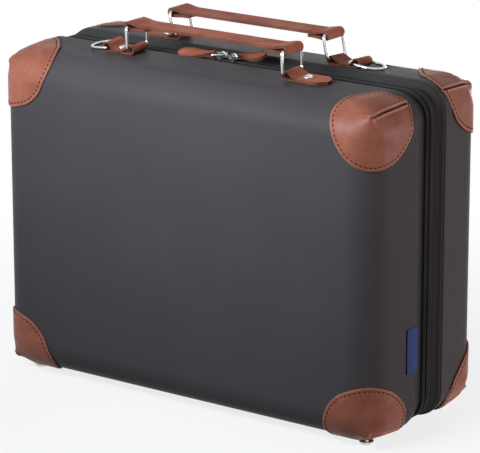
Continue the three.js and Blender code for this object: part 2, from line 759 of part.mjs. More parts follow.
// A loop of wire through rounded corners in a plane: corners are [a, b], spanned by two axes
function wireLoop(corners, bend, wire, axisA, axisB, steps = 2) {
  const sides = 8;
  const count = corners.length;
  const path = [];
  corners.forEach((corner, i) => {
    const here = at(corner[0], corner[1]);
    const before = at(...corners[(i + count - 1) % count]).sub(here).normalize();
    const after = at(...corners[(i + 1) % count]).sub(here).normalize();
    const half = Math.acos(before.dot(after)) / 2;
    const radius = corner[2] ?? bend;
    const inward = before.clone().add(after).normalize();
    const centre = here.clone().addScaledVector(inward, radius / Math.sin(half));
    const cut = radius / Math.tan(half);
    const first = here.clone().addScaledVector(before, cut).sub(centre);
    const last = here.clone().addScaledVector(after, cut).sub(centre);
    const sweep = Math.atan2(first.x * last.y - first.y * last.x, first.dot(last));
    const turns = Math.max(steps, Math.round(radius / 2.5));
    for (let k = 0; k <= turns; k++) {
      const arm = first.clone().rotateAround(at(0, 0), (sweep * k) / turns);
      path.push({ point: centre.clone().add(arm), outward: arm.normalize().multiplyScalar(-1) });
    }
  });
  const across = axisA.clone().cross(axisB).normalize();
  const rings = path.map(({ point, outward }) => {
    const middle = axisA.clone().multiplyScalar(point.x).addScaledVector(axisB, point.y);
    const normal = axisA.clone().multiplyScalar(-outward.x).addScaledVector(axisB, -outward.y);
    return Array.from({ length: sides }, (_, k) => {
      const angle = ((k + 0.5) / sides) * 2 * Math.PI;
      return middle
        .clone()
        .addScaledVector(normal, wire * Math.cos(angle))
        .addScaledVector(across, wire * Math.sin(angle));
    });
  });
  return loft(rings, true);
}

const X_AXIS = new THREE.Vector3(1, 0, 0);
const Y_AXIS = new THREE.Vector3(0, 1, 0);
const Z_AXIS = new THREE.Vector3(0, 0, 1);

function handleRingSolid() {
  const half = RING_WIDTH / 2;
  const corners = [
    [-half, 0],
    [half, 0],
    [half, RING_HEIGHT],
    [-half, RING_HEIGHT],
  ];
  return wireLoop(corners, RING_BEND, RING_WIRE, Y_AXIS, Z_AXIS);
}

// The D-ring lies towards +X from its straight bar
function dRingSolid() {
  const half = D_WIDTH / 2;
  const corners = [
    [0, -half],
    [0, half],
    [D_ARM + half, half, half - 0.01],
    [D_ARM + half, -half, half - 0.01],
  ];
  return wireLoop(corners, 1.4, D_WIRE, X_AXIS, Y_AXIS);
}

// The handle's strap, folded over the upper bars of both rings
const STRAP_FOLD = RING_BORE + STRAP_LEATHER / 2;
function strapSolid() {
  const main = STRAP_FOLD - STRAP_DIP;
  const flap = main - STRAP_LEATHER - PLY_GAP;
  const ease = RING_X - STRAP_EASE;
  const [under, over] = [-78, 76]; // degrees: where the flap and the straight part leave a fold
  const path = [
    at(-RING_X + STRAP_FLAP, flap),
    at(-ease, flap - FLAP_DIP),
    ...fold(-RING_X, 0, STRAP_FOLD, 360 + under, over),
    at(-ease, main),
    at(ease, main),
    ...fold(RING_X, 0, STRAP_FOLD, 180 - over, -180 - under),
    at(ease, flap - FLAP_DIP),
    at(RING_X - STRAP_FLAP, flap),
  ];
  return foldedStrip(path, STRAP_LEATHER, STRAP_WIDTH);
}

// Zip slider, nose towards +X, with its origin on the rim's outer level over the zip line
const PLATE_LOW = -TEETH_TOP + SLIDER_MARGIN;
const PLATE_HIGH = PLATE_LOW + SLIDER_PLATE;
const PIVOT_Z = PLATE_HIGH + 0.5 + LINK_WIRE;
function sliderSolid() {
  const half = SLIDER_LENGTH / 2;
  const wide = ZIP_SLOT / 2 + TEETH_WIDTH + SLIDER_MARGIN + 0.8;
  const plan = [
    [-half, -wide + 1.5],
    [-half + 1.5, -wide],
    [half - 4, -wide],
    [half, -wide * 0.45],
    [half, wide * 0.45],
    [half - 4, wide],
    [-half + 1.5, wide],
    [-half, wide - 1.5],
  ];
  const bottomHigh = -TAPE_TOP - TAPE_THICK - SLIDER_MARGIN;
  const postEnd = half - 1;
  const post = [
    [postEnd - 5, -SLIDER_POST / 2],
    [postEnd, -SLIDER_POST / 2],
    [postEnd, SLIDER_POST / 2],
    [postEnd - 5, SLIDER_POST / 2],
  ];
  const flangeInner = -wide + 0.8;
  const flange = [
    [-half + 1.5, -wide],
    [half - 4, -wide],
    [half - 4, flangeInner],
    [-half + 1.5, flangeInner],
  ];
  const arch = new THREE.Shape([
    at(-ARCH_LENGTH / 2, PLATE_HIGH - 0.2),
    at(-ARCH_OPENING / 2, PLATE_HIGH - 0.2),
    at(-ARCH_OPENING / 2, PLATE_HIGH + ARCH_CLEAR),
    at(ARCH_OPENING / 2, PLATE_HIGH + ARCH_CLEAR),
    at(ARCH_OPENING / 2, PLATE_HIGH - 0.2),
    at(ARCH_LENGTH / 2, PLATE_HIGH - 0.2),
    at(ARCH_LENGTH / 2 - 1.2, PLATE_HIGH + ARCH_CLEAR),
    at(ARCH_OPENING / 2, PLATE_HIGH + ARCH_CLEAR + ARCH_TOP),
    at(-ARCH_OPENING / 2, PLATE_HIGH + ARCH_CLEAR + ARCH_TOP),
    at(-ARCH_LENGTH / 2 + 1.2, PLATE_HIGH + ARCH_CLEAR),
  ]);
  const bridge = new THREE.ExtrudeGeometry(arch, { depth: ARCH_WIDTH, bevelEnabled: false });
  bridge.translate(0, 0, -ARCH_WIDTH / 2);
  bridge.rotateX(Math.PI / 2);
  return prism(plan, PLATE_LOW, PLATE_HIGH)
    .add(prism(plan, bottomHigh - 1.2, bottomHigh))
    .add(prism(post, bottomHigh - 0.2, PLATE_LOW + 0.2))
    .add(prism(flange, PLATE_LOW - 1.2, PLATE_LOW + 0.2))
    .add(solidOf(bridge));
}

// The wire link hangs in the slider's arch at X = 0 and widens to hold the leather pull
function linkSolid() {
  const corners = [
    [0, -LINK_NARROW / 2],
    [0, LINK_NARROW / 2],
    [LINK_LENGTH, LINK_WIDE / 2],
    [LINK_LENGTH, -LINK_WIDE / 2],
  ];
  return wireLoop(corners, LINK_WIRE, LINK_WIRE, X_AXIS, Y_AXIS);
}

// Two plies of leather folded round the link's bar at X = 0, cut to a drop shape
const PULL_FOLD_END = 60; // degrees: where each ply leaves the fold
function pullSolid() {
  const bend = PULL_BORE + PULL_LEATHER / 2;
  const ply = PULL_LEATHER / 2 + PLY_GAP / 2;
  const path = [
    at(PULL_LENGTH, -ply),
    at(5, -ply),
    ...fold(0, 0, bend, 360 - PULL_FOLD_END, PULL_FOLD_END, 8),
    at(5, ply),
    at(PULL_LENGTH, ply),
  ];
  const round = PULL_LENGTH - PULL_END_RADIUS;
  const neck = PULL_NECK / 2;
  const outline = [[-bend - PULL_LEATHER, -neck], [3.5, -neck], [9, -neck - 1]];
  for (let i = 0; i <= 10; i++) {
    const angle = -1.75 + (3.5 * i) / 10;
    const x = round + PULL_END_RADIUS * Math.cos(angle);
    outline.push([x, PULL_END_RADIUS * Math.sin(angle)]);
  }
  outline.push([9, neck + 1], [3.5, neck], [-bend - PULL_LEATHER, neck]);
  const folded = foldedStrip(path, PULL_LEATHER, 3 * PULL_END_RADIUS);
  return folded.intersect(prism(outline, -4, 4));
}

// The plain tag on the right end of the front shell, its back to -X and its rim side to +Y
function tagSolid() {
  const shape = new THREE.Shape();
  const [w, h, r] = [TAG_WIDTH / 2, TAG_HEIGHT / 2, TAG_CORNER];
  shape.moveTo(-w + r, -h);
  shape.lineTo(w, -h);
  shape.lineTo(w, h);
  shape.lineTo(-w + r, h);
  shape.absarc(-w + r, h - r, r, Math.PI / 2, Math.PI, false);
  shape.absarc(-w + r, -h + r, r, Math.PI, 1.5 * Math.PI, false);
  const geometry = new THREE.ExtrudeGeometry(shape, {
    depth: TAG_THICK,
    bevelEnabled: false,
    curveSegments: 4,
  });
  geometry.rotateX(Math.PI / 2);
  geometry.rotateZ(Math.PI / 2);
  return solidOf(geometry);
}

// One half of the case, built as the front half, with its handle leaning a little towards +X
function makeHalf(label, leftName, rightName, lean = 0) {
  const half = new THREE.Group();
  const { shell, leather, fabric, teeth, chrome, foot, lining } = MATERIALS;
  const sides = [
    { side: -1, name: leftName },
    { side: 1, name: rightName },
  ];
  add(half, `${label}_shell`, shellSolid(), shell);
  add(half, `${label}_lining`, liningSolid(), lining);
  add(half, `${label}_rim_binding`, bindingSolid(), fabric);
  add(half, `${label}_zip_tape`, tapeSolid(), fabric);
  add(half, `${label}_zip_teeth`, teethSolid(), teeth);
  add(half, `${label}_hinge_strip`, hingeStripSolid(), fabric);
  const footWasher = washerSolid(footHeights().washer);
  sides.forEach(({ side, name }) => {
    add(half, `corner_${label}_top_${name}`, cornerCapSolid(side, 1), leather);
    add(half, `corner_${label}_bottom_${name}`, cornerCapSolid(side, -1), leather);
    const standing = new THREE.Group();
    standing.applyMatrix4(footMatrix(side * FOOT_X));
    add(standing, `foot_${label}_${name}`, footSolid(), foot);
    add(standing, `foot_washer_${label}_${name}`, footWasher, chrome);
    half.add(standing);
  });
  const tilt = THREE.MathUtils.degToRad(lean);
  const hardware = new THREE.Group();
  hardware.applyMatrix4(hardwareMatrix(0));
  sides.forEach(({ side, name }) => {
    const mount = new THREE.Group();
    mount.position.x = side * RING_X;
    mount.rotation.z = side < 0 ? Math.PI : 0;
    const tab = side < 0 ? doubleTabSolid() : tongueTabSolid();
    add(mount, `handle_tab_${label}_${name}`, tab, leather);
    const rivet = new THREE.Group();
    rivet.position.x = RIVET_X;
    add(rivet, `rivet_${label}_${name}`, rivetSolid(), chrome);
    const washerLow = -WALL - GAP - WASHER_THICK;
    add(rivet, `rivet_washer_${label}_${name}`, washerSolid(washerLow), chrome);
    mount.add(rivet);
    const ring = add(mount, `handle_ring_${label}_${name}`, handleRingSolid(), chrome);
    ring.position.z = RING_BAR_Z;
    ring.rotation.y = side * tilt;
    if (side < 0) {
      const dRing = add(mount, `d_ring_${label}`, dRingSolid(), chrome);
      dRing.position.set(D_BAR_X, 0, D_BAR_Z);
      const drop = D_BAR_Z - D_WIRE - GAP;
      dRing.rotation.y = Math.asin(drop / (D_ARM + D_WIDTH / 2));
    }
    hardware.add(mount);
  });
  const strap = add(hardware, `handle_strap_${label}`, strapSolid(), leather);
  strap.position.x = RING_HEIGHT * Math.sin(tilt);
  strap.position.z = RING_BAR_Z + RING_HEIGHT * Math.cos(tilt);
  half.add(hardware);
  return half;
}

// A slider with its link and pull, which point away from the middle and a little forward
function makeSlider(name, side, droop) {
  const { chrome, leather } = MATERIALS;
  const group = new THREE.Group();
  group.position.set(ZIP_MEET + side * SLIDER_X, 0, RIM_TOP);
  const body = add(group, `zip_slider_${name}`, sliderSolid(), chrome);
  body.scale.x = -side;
  const [swing, down] = [PULL_SWING, droop].map(THREE.MathUtils.degToRad);
  const pull = new THREE.Group();
  pull.position.z = PIVOT_Z;
  pull.rotation.set(0, down, side < 0 ? Math.PI + swing : -swing, "ZYX");
  add(pull, `pull_link_${name}`, linkSolid(), chrome);
  const tab = add(pull, `leather_pull_${name}`, pullSolid(), leather);
  tab.position.x = LINK_LENGTH;
  group.add(pull);
  return group;
}

const attacheCase = new THREE.Group();
attacheCase.add(makeHalf("front", "left", "right"));
const rearHalf = makeHalf("rear", "right", "left", REAR_LEAN);
rearHalf.rotation.z = Math.PI;
attacheCase.add(rearHalf);
add(attacheCase, "hinge_band", hingeBandSolid(), MATERIALS.fabric);
attacheCase.add(makeSlider("left", -1, LEFT_DROOP));
attacheCase.add(makeSlider("right", 1, RIGHT_DROOP));

const tag = add(attacheCase, "side_tag", tagSolid(), MATERIALS.tag);
const tagDepth = SHELL_DEPTH - TAG_WIDTH / 2 - GAP;
tag.position.set(
  FACE_WIDTH / 2 + SLOPE * tagDepth + GAP,
  tagDepth - FACE_Y,
  FACE_LIFT + TAG_BOTTOM + TAG_HEIGHT / 2,
);
tag.rotation.z = -SLOPE_ANGLE;

export default attacheCase;
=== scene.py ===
# Looks for a hard attache case: smooth mouldings, stitched leather, a coil zip and wire rings.
# Sizes are in millimetres in this script and turn into metres where a mesh is made. The front half
# is described, and the rear half is the same turned half way round Z.
import math

import bmesh
import bpy
import numpy as np
from mathutils import Matrix, Vector


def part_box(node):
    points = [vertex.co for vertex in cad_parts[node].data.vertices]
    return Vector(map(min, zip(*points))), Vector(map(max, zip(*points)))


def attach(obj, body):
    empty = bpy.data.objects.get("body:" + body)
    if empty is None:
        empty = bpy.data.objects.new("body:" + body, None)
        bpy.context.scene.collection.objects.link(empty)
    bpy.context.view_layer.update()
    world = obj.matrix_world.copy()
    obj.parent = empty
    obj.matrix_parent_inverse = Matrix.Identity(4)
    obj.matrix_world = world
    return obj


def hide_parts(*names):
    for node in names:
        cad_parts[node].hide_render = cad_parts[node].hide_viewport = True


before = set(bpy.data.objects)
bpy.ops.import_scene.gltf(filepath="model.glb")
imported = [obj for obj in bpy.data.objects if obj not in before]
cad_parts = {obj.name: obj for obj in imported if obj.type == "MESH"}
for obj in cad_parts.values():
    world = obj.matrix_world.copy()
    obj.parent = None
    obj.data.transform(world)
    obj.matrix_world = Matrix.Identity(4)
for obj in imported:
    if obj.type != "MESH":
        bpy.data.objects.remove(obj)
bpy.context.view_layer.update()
MM = 0.001
FACETS = 22  # in a quarter round of the shells

# Sizes of the case, the same as the solids have
FACE_WIDTH, FACE_HEIGHT, SHELL_DEPTH = 379, 278, 63
DRAFT, EDGE_RADIUS, WALL, BAND_WIDTH = 3.8, 26, 2.2, 39
FACE_LIFT, GAP, LINING_THICK = 7, 0.3, 1.5
LEATHER_GAP, LEATHER, APEX_INSET, CAP_SIZE = 0.35, 1.35, 6.9, 34
# Outlines of the four caps of a half, by side and by top or bottom, as shares of their size
CAP_OUTLINES = {
    (-1, 1): (1.13, 1.01, 1.31, 0.99, 1.02, 0.96),
    (1, 1): (0.89, 0.95, 1.29, 1.05, 1.05, 0.83),
    (-1, -1): (1.12, 0.94, 1.19, 0.89, 1.06, 0.98),
    (1, -1): (0.99, 0.97, 1.2, 0.97, 1.04, 0.9),
}
BINDING_INSIDE, BINDING_SHOWN, BINDING_THICK, BINDING_CROWN, BINDING_REACH = 7, 3.4, 1.6, 0.5, 8.6
LOW_CROWN, LOW_REACH = 3, 3.9  # of the front binding along the top, under the pulls
TAPE_THICK, TAPE_INSIDE = 1, 8
TEETH_WIDTH, TEETH_THICK, TEETH_PITCH, ZIP_SLOT, ZIP_TAIL = 5, 1.6, 1.9, 1.6, 17
HINGE_BAND_THICK = 1.4
HARDWARE_Y, RING_X = 32, 78.8
TAB_WIDTH, TAB_LEATHER, TAB_TONGUE, TAB_CHAMFER, PLY_GAP = 20, 1.6, 37, 7, 0.25
TAB_BORE, RING_LIFT, CREST_END = 2.5, 0.5, 48
RING_WIRE, RING_WIDTH, RING_HEIGHT, RING_BEND = 1.5, 27.4, 20, 3
TAB_PLY, RING_DROP = 1.3, 0.2
RIVET_X, RIVET_HEAD = 15.5, 4.2
STRAP_WIDTH, STRAP_LEATHER, STRAP_FLAP, FLAP_DIP = 23, 2.5, 17.5, 0.3
D_BAR_X, D_WIRE, D_BORE, D_WIDTH, D_ARM, D_BEND = 24.5, 1.3, 1.9, 23.4, 8.8, 1.4
LEAN = {1: 0, -1: 14}  # degrees: the front handle stands upright and the rear one leans
ZIP_MEET, SLIDER_X, SLIDER_LENGTH, SLIDER_PLATE, SLIDER_MARGIN = -7.5, 5.7, 10.6, 1.6, 0.35
ARCH_LENGTH, ARCH_WIDTH, ARCH_CLEAR = 7.8, 2.6, 2.5
LINK_WIRE, LINK_NARROW, LINK_WIDE, LINK_LENGTH, LINK_BEND = 0.9, 5.4, 9.6, 9.2, 0.9
PULL_LEATHER, PULL_BORE, PULL_LENGTH = 1.3, 1.25, 31
PULL_END_RADIUS, PULL_NECK, PULL_SAG = 6.9, 6.6, 0.2
PULL_SWING = 15.5  # degrees to the front
PULL_DROOP = {-1: 2, 1: -10}  # degrees: the left pull lies down and the right one sticks up
PULL_TWIST = {-1: 22, 1: 20}  # degrees: how far each leather turns its face to the front
FOOT_X, FOOT_Y, FOOT_RADIUS, FOOT_FLAT = 169.5, 55.5, 6, 2.6
TAG_WIDTH, TAG_HEIGHT, TAG_MIDDLE, TAG_OVERHANG = 14.8, 38.4, 69.6, 0.9

# Worked out from the sizes above
RIM_Y = BAND_WIDTH / 2
FACE_Y = RIM_Y + SHELL_DEPTH
MIDDLE_Z = FACE_LIFT + FACE_HEIGHT / 2
SLOPE = DRAFT / SHELL_DEPTH
SLOPE_ANGLE = math.atan(SLOPE)
RIM_TOP = FACE_LIFT + FACE_HEIGHT + DRAFT
BINDING_TOP = WALL + GAP + SLOPE * TAPE_INSIDE
TAPE_TOP = BINDING_TOP + BINDING_THICK + GAP
TEETH_TOP = TAPE_TOP - 2 * GAP - TEETH_THICK
LOWER_PLY = GAP + TAB_LEATHER / 2
RING_FOLD = TAB_BORE + TAB_LEATHER / 2
FOLD_Z = LOWER_PLY + RING_FOLD
RING_BAR_Z = FOLD_Z + RING_LIFT
D_FOLD = D_BORE + TAB_LEATHER / 2
D_BAR_Z = LOWER_PLY + D_FOLD
TAB_TOP = GAP + 2 * TAB_PLY + 0.1
PLATE_LOW = -TEETH_TOP + SLIDER_MARGIN
PLATE_HIGH = PLATE_LOW + SLIDER_PLATE
PIVOT_Z = PLATE_HIGH + 0.5 + LINK_WIRE

HALVES = (("front", 1, ("left", "right")), ("rear", -1, ("right", "left")))
HALF_TURN = {1: Matrix.Identity(4), -1: Matrix.Rotation(math.pi, 4, "Z")}


def loft_faces(rings, count, closed=False, capped=True):
    """Quads between rings of points that all have as many points, and flat caps."""
    faces = []
    spans = rings if closed else rings - 1
    for i in range(spans):
        a, b = i * count, ((i + 1) % rings) * count
        faces += [(a + j, a + (j + 1) % count, b + (j + 1) % count, b + j) for j in range(count)]
    if capped and not closed:
        faces.append(tuple(reversed(range(count))))
        faces.append(tuple(range((rings - 1) * count, rings * count)))
    return faces


def loft(rings, closed=False, capped=True):
    """Points and faces of a skin through rings of points."""
    points = [p for ring in rings for p in ring]
    return points, loft_faces(len(rings), len(rings[0]), closed, capped)


def add_loft(points, faces, rings):
    """Adds a capped skin through rings to a mesh."""
    start = len(points)
    skin_points, skin = loft(rings)
    points.extend(skin_points)
    faces.extend(tuple(start + i for i in face) for face in skin)


def turns(sides):
    """Even steps of a whole turn."""
    return [2 * math.pi * k / sides for k in range(sides)]


def run_lengths(line):
    """Lengths along a line of points, from its first point to each of them."""
    steps = np.linalg.norm(np.diff(line, axis=0), axis=1)
    return np.concatenate([[0], np.cumsum(steps)])


def at_length(places, lengths, rows):
    """Rows of numbers given at some lengths, found for other places between them."""
    return np.array([np.interp(places, lengths, column) for column in np.transpose(rows)]).T


def unit_tangents(line):
    """The direction of a line at each of its points."""
    tangent = np.gradient(line, axis=0)
    return tangent / np.linalg.norm(tangent, axis=1, keepdims=True)


def make_piece(name, points, faces, materials, body, slot, replaces=(), place=None, faces_material=None,
               sharp=None, painted_highlight=None):
    """A mesh object from points in millimetres, placed by a matrix in millimetres, riding on a body."""
    matrix = place or Matrix.Identity(4)
    coordinates = np.asarray(points, float).reshape(-1, 3)
    turn = np.array(matrix.to_3x3())
    coordinates = (coordinates @ turn.T + np.array(matrix.translation)) * MM
    mesh = bpy.data.meshes.new(name)
    mesh.from_pydata(coordinates.tolist(), [], faces)
    mesh.validate()
    for item in materials:
        mesh.materials.append(item)
    if faces_material is not None:
        mesh.polygons.foreach_set("material_index", np.asarray(faces_material, np.int32))
    mesh.polygons.foreach_set("use_smooth", [True] * len(mesh.polygons))
    # A painted highlight, as a share for each point
    if painted_highlight is not None:
        highlight_attribute = mesh.attributes.new("painted_highlight", "FLOAT", "POINT")
        highlight_attribute.data.foreach_set("value", np.asarray(painted_highlight, np.float32))
    piece = bpy.data.objects.new(name, mesh)
    bpy.context.scene.collection.objects.link(piece)
    tidy_normals(mesh)
    if sharp:
        mesh.set_sharp_from_angle(angle=math.radians(sharp))
    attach(piece, body)
    if replaces:
        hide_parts(*replaces)
    return piece


def tidy_normals(mesh):
    """Faces of a closed mesh turned outwards."""
    edit = bmesh.new()
    edit.from_mesh(mesh)
    bmesh.ops.recalc_face_normals(edit, faces=edit.faces)
    edit.to_mesh(mesh)
    edit.free()


# Materials

def linear(colour):
    """sRGB from 0 to 255 as linear light."""
    shares = [c / 255 for c in colour]
    return tuple(c / 12.92 if c <= 0.04045 else ((c + 0.055) / 1.055) ** 2.4 for c in shares)


class Look:
    """The nodes of a material or of the world, with short ways to add to them."""

    def __init__(self, name, kind=bpy.data.materials):
        self.owner = kind.new(name)
        self.owner.use_nodes = True
        self.nodes = self.owner.node_tree.nodes
        self.shader = self.nodes.get("Principled BSDF")

    def feed(self, socket, value):
        """Gives a socket a linked value, a number or a colour."""
        if isinstance(value, bpy.types.NodeSocket):
            self.owner.node_tree.links.new(value, socket)
        else:
            socket.default_value = value

    def node(self, kind, inputs=None, **settings):
        """A new node with its settings and inputs."""
        made = self.nodes.new(kind)
        for key, value in settings.items():
            setattr(made, key, value)
        for key, value in (inputs or {}).items():
            self.feed(made.inputs[key], value)
        return made

    def dress(self, inputs):
        """Gives the shader its inputs."""
        for key, value in inputs.items():
            self.feed(self.shader.inputs[key], value)

    def space(self):
        """Coordinates in the row frame, in metres."""
        if "space" not in self.nodes:
            self.node("ShaderNodeTexCoord", name="space")
        return self.nodes["space"].outputs["Object"]

    def noise(self, scale, detail=4, roughness=0.55, distortion=0):
        """Noise in real space, with its scale in features per metre."""
        inputs = {"Vector": self.space(), "Scale": scale, "Detail": detail, "Roughness": roughness}
        return self.node("ShaderNodeTexNoise", {**inputs, "Distortion": distortion}).outputs["Fac"]

    def cells(self, scale, feature="F1"):
        """Distances in a pattern of cells, with its scale in cells per metre."""
        inputs = {"Vector": self.space(), "Scale": scale}
        return self.node("ShaderNodeTexVoronoi", inputs, feature=feature).outputs["Distance"]

    def mapped(self, value, low, high, new_low, new_high):
        """A value taken from one range to another."""
        inputs = {"Value": value, "From Min": low, "From Max": high, "To Min": new_low, "To Max": new_high}
        return self.node("ShaderNodeMapRange", inputs).outputs["Result"]

    def math(self, operation, *values):
        """The result of an operation on linked values and numbers."""
        return self.node("ShaderNodeMath", dict(enumerate(values)), operation=operation).outputs[0]

    def ramp(self, value, *stops):
        """A colour by a value, from (position, colour) stops."""
        made = self.node("ShaderNodeValToRGB", {"Fac": value})
        elements = made.color_ramp.elements
        while len(elements) < len(stops):
            elements.new(0.5)
        for element, (position, colour) in zip(elements, stops):
            element.position = position
            element.color = (*linear(colour), 1)
        return made.outputs["Color"]

    def mixed(self, share, first, second, blend="MIX"):
        """A colour mixed from two."""
        inputs = {"Factor": share, 6: first, 7: second}
        return self.node("ShaderNodeMix", inputs, data_type="RGBA", blend_type=blend).outputs[2]

    def bump(self, *layers):
        """Bump from (height value, distance in metres, strength) layers, one on the other."""
        before = {}
        for height, distance, strength in layers:
            inputs = {"Height": height, "Distance": distance, "Strength": strength, **before}
            before = {"Normal": self.node("ShaderNodeBump", inputs).outputs["Normal"]}
        self.dress(before)

    def seen_directly(self):
        """1 for the camera's rays, for reflections and for what is seen through a surface."""
        path = self.node("ShaderNodeLightPath").outputs
        mirrored = self.math("MAXIMUM", path["Is Camera Ray"], path["Is Glossy Ray"])
        return self.math("MAXIMUM", mirrored, path["Is Transmission Ray"])


def plastic_material(name, dark, light, roughness):
    """Moulded shell: fine even grain, faint clouds in the colour and gloss."""
    look = Look(name)
    scuffs = look.noise(60, 5, 0.6)
    look.dress({
        "Base Color": look.ramp(look.noise(14, 3), (0.3, dark), (0.7, light)),
        "Roughness": look.mapped(scuffs, 0.3, 0.7, roughness - 0.04, roughness + 0.05),
        "Specular IOR Level": 0.03,
    })
    look.bump((look.cells(1500), 0.00005, 0.35), (look.noise(2600, 2), 0.00004, 0.3))
    return look.owner


def leather_material(name, dark, middle, light, roughness, grain=0.35, gloss=0.22):
    """Vegetable-tanned leather: mottled colour, pores and fine creases, and paler where a piece carries a
    painted highlight.
    """
    look = Look(name)
    clouds = look.noise(45, 5, 0.6, 0.4)
    mottled = look.ramp(clouds, (0.3, dark), (0.5, middle), (0.72, light))
    specks = look.mapped(look.noise(700, 3), 0.3, 0.7, 0.93, 1.05)
    shaded = look.mixed(1, mottled, specks, "MULTIPLY")
    # Painted highlight: the points' shares, broken into patches by the clouds, mix in a pale colour
    highlight_attribute = look.node("ShaderNodeAttribute", attribute_name="painted_highlight").outputs["Fac"]
    highlight_patches = look.math("MULTIPLY", highlight_attribute, look.mapped(clouds, 0.3, 0.7, 0.6, 1))
    look.dress({
        "Base Color": look.mixed(highlight_patches, shaded, (*linear(HIGHLIGHT_LEATHER), 1)),
        "Roughness": look.mapped(clouds, 0.3, 0.7, roughness + 0.05, roughness - 0.05),
        "Specular IOR Level": gloss,
    })
    creases = look.noise(260, 6, 0.65, 0.8)
    look.bump((creases, 0.0004, grain * 0.5), (look.cells(1100, "SMOOTH_F1"), 0.00018, grain))
    return look.owner


def woven_material(name, dark, light, pitch, roughness=0.85, along="X", across="Z"):
    """Cloth with a plain weave at a real pitch in metres, along two axes of the row frame."""
    look = Look(name)
    split = look.node("ShaderNodeSeparateXYZ", {"Vector": look.space()}).outputs
    yarns = []
    for axis in (along, across):
        phase = look.math("MULTIPLY", split[axis], 2 * math.pi / pitch)
        yarns.append(look.math("SINE", phase))
    cloth = look.math("MULTIPLY_ADD", look.math("MULTIPLY", *yarns), 0.35, look.noise(900, 4))
    look.dress({
        "Base Color": look.ramp(cloth, (0.2, dark), (0.8, light)),
        "Roughness": roughness,
        "Sheen Weight": 0.04,
        "Sheen Roughness": 0.5,
        "Specular IOR Level": 0.12,
    })
    look.bump((cloth, 0.00025, 0.5))
    return look.owner


def metal_material(name, dark, light, roughness):
    """Plated wire and studs: bright, with faint polishing marks."""
    look = Look(name)
    marks = look.noise(350, 4)
    look.dress({
        "Base Color": look.ramp(marks, (0.3, dark), (0.7, light)),
        "Roughness": look.mapped(marks, 0.3, 0.7, roughness, roughness + 0.08),
        "Metallic": 1,
    })
    look.bump((marks, 0.00008, 0.12))
    return look.owner


def thread_material(name, dark, light):
    """Waxed thread with a twist."""
    look = Look(name)
    twist = look.noise(1800, 2)
    look.dress({
        "Base Color": look.ramp(twist, (0.3, dark), (0.7, light)),
        "Roughness": 0.8,
        "Specular IOR Level": 0.1,
    })
    look.bump((twist, 0.0001, 0.4))
    return look.owner


# The pale colour of the painted highlights on the caps' crests and near their cut edges
HIGHLIGHT_LEATHER = (206, 152, 132)
SHELL = plastic_material("shell_plastic", (68, 62, 64), (71, 65, 67), 0.42)
CAP_LEATHER = leather_material("cap_leather", (124, 68, 52), (140, 80, 63), (154, 92, 74), 0.46, 0.35, 0.16)
STRAP_TOP = leather_material("strap_leather", (142, 78, 61), (162, 92, 74), (178, 106, 86), 0.6, 0.9, 0.07)
# The cut edges are darker than the grain side: painted shade, for edges that turn away from the light
CUT_EDGE = leather_material("cut_edge", (88, 47, 36), (102, 57, 45), (118, 71, 58), 0.6, 0.5, 0.1)
FLESH = leather_material("flesh_side", (104, 60, 46), (118, 72, 56), (132, 84, 66), 0.75, 0.6)
THREAD = thread_material("dark_thread", (62, 29, 21), (88, 44, 34))
WEBBING = woven_material("webbing", (43, 41, 39), (54, 52, 50), 0.0011)
BINDING = woven_material("binding", (45, 43, 41), (57, 55, 52), 0.0007, 0.8)
COIL = plastic_material("zip_coil", (44, 43, 43), (64, 62, 61), 0.42)
CHROME = metal_material("chrome", (190, 190, 193), (212, 212, 214), 0.13)
# Chrome with a dark colour: a painted dark reflection of the surroundings, for the slider bodies
CHROME_PAINTED_DARK = metal_material("chrome_painted_dark", (62, 62, 64), (84, 84, 86), 0.3)
STUD = metal_material("stud_steel", (205, 203, 200), (228, 226, 224), 0.34)
LINING = woven_material("lining", (52, 52, 56), (70, 70, 76), 0.0009, 0.9)
TAG = woven_material("tag_cloth", (34, 46, 92), (66, 80, 128), 0.0011, 0.8, "Y", "Z")

# The top, the cut edges and the flesh side of a leather piece
CAP_LEATHERS = (CAP_LEATHER, CUT_EDGE, FLESH)
STRAP_LEATHERS = (STRAP_TOP, CUT_EDGE, FLESH)


# Shells and their linings

HOLD_DISTANCE, HOLD_LEAST = 2.0, 12  # of holding points from a rounding, and the shortest run that has them
FACE_BORDER = 2.5  # of the face's edge, which takes the turn of the shading


def rounded_outline(half_width, half_height, radius, steps, hold=True):
    """A rounded rectangle in X and Z as (x, z, outward x, outward z)."""
    points = []
    for corner in range(4):
        sx = 1 if corner in (0, 3) else -1
        sz = 1 if corner < 2 else -1
        arc = []
        for i in range(steps + 1):
            angle = (corner + i / steps) * math.pi / 2
            nx, nz = math.cos(angle), math.sin(angle)
            x = sx * (half_width - radius) + radius * nx
            z = sz * (half_height - radius) + radius * nz
            arc.append((x, z, nx, nz))
        if points and hold:
            points += between(points[-1], arc[0])
        points += arc
    if hold:
        points += between(points[-1], points[0])
    return points


def between(first, last):
    """Points near the ends of a straight run, which keep the rounding's shading off it."""
    length = math.hypot(last[0] - first[0], last[1] - first[1])
    found = []
    if length > HOLD_LEAST:
        for t in (HOLD_DISTANCE / length, 1 - HOLD_DISTANCE / length):
            x, z = (a + (b - a) * t for a, b in zip(first[:2], last[:2]))
            found.append((x, z, *first[2:]))
    return found


def moulded_ring(inside, depth, turn, steps):
    """One ring of the moulding, as the solid has it, at a distance inside its outer surface."""
    radius = EDGE_RADIUS - inside
    reach = EDGE_RADIUS - radius * math.sin(turn) if turn > 0 else depth
    grown = SLOPE * reach - EDGE_RADIUS + radius * math.cos(turn)
    corner = max(radius * math.cos(turn), 0.02)
    outline = rounded_outline(FACE_WIDTH / 2 + grown, FACE_HEIGHT / 2 + grown, corner, steps)
    return [(x, reach - FACE_Y, z + MIDDLE_Z) for x, z, _, _ in outline]


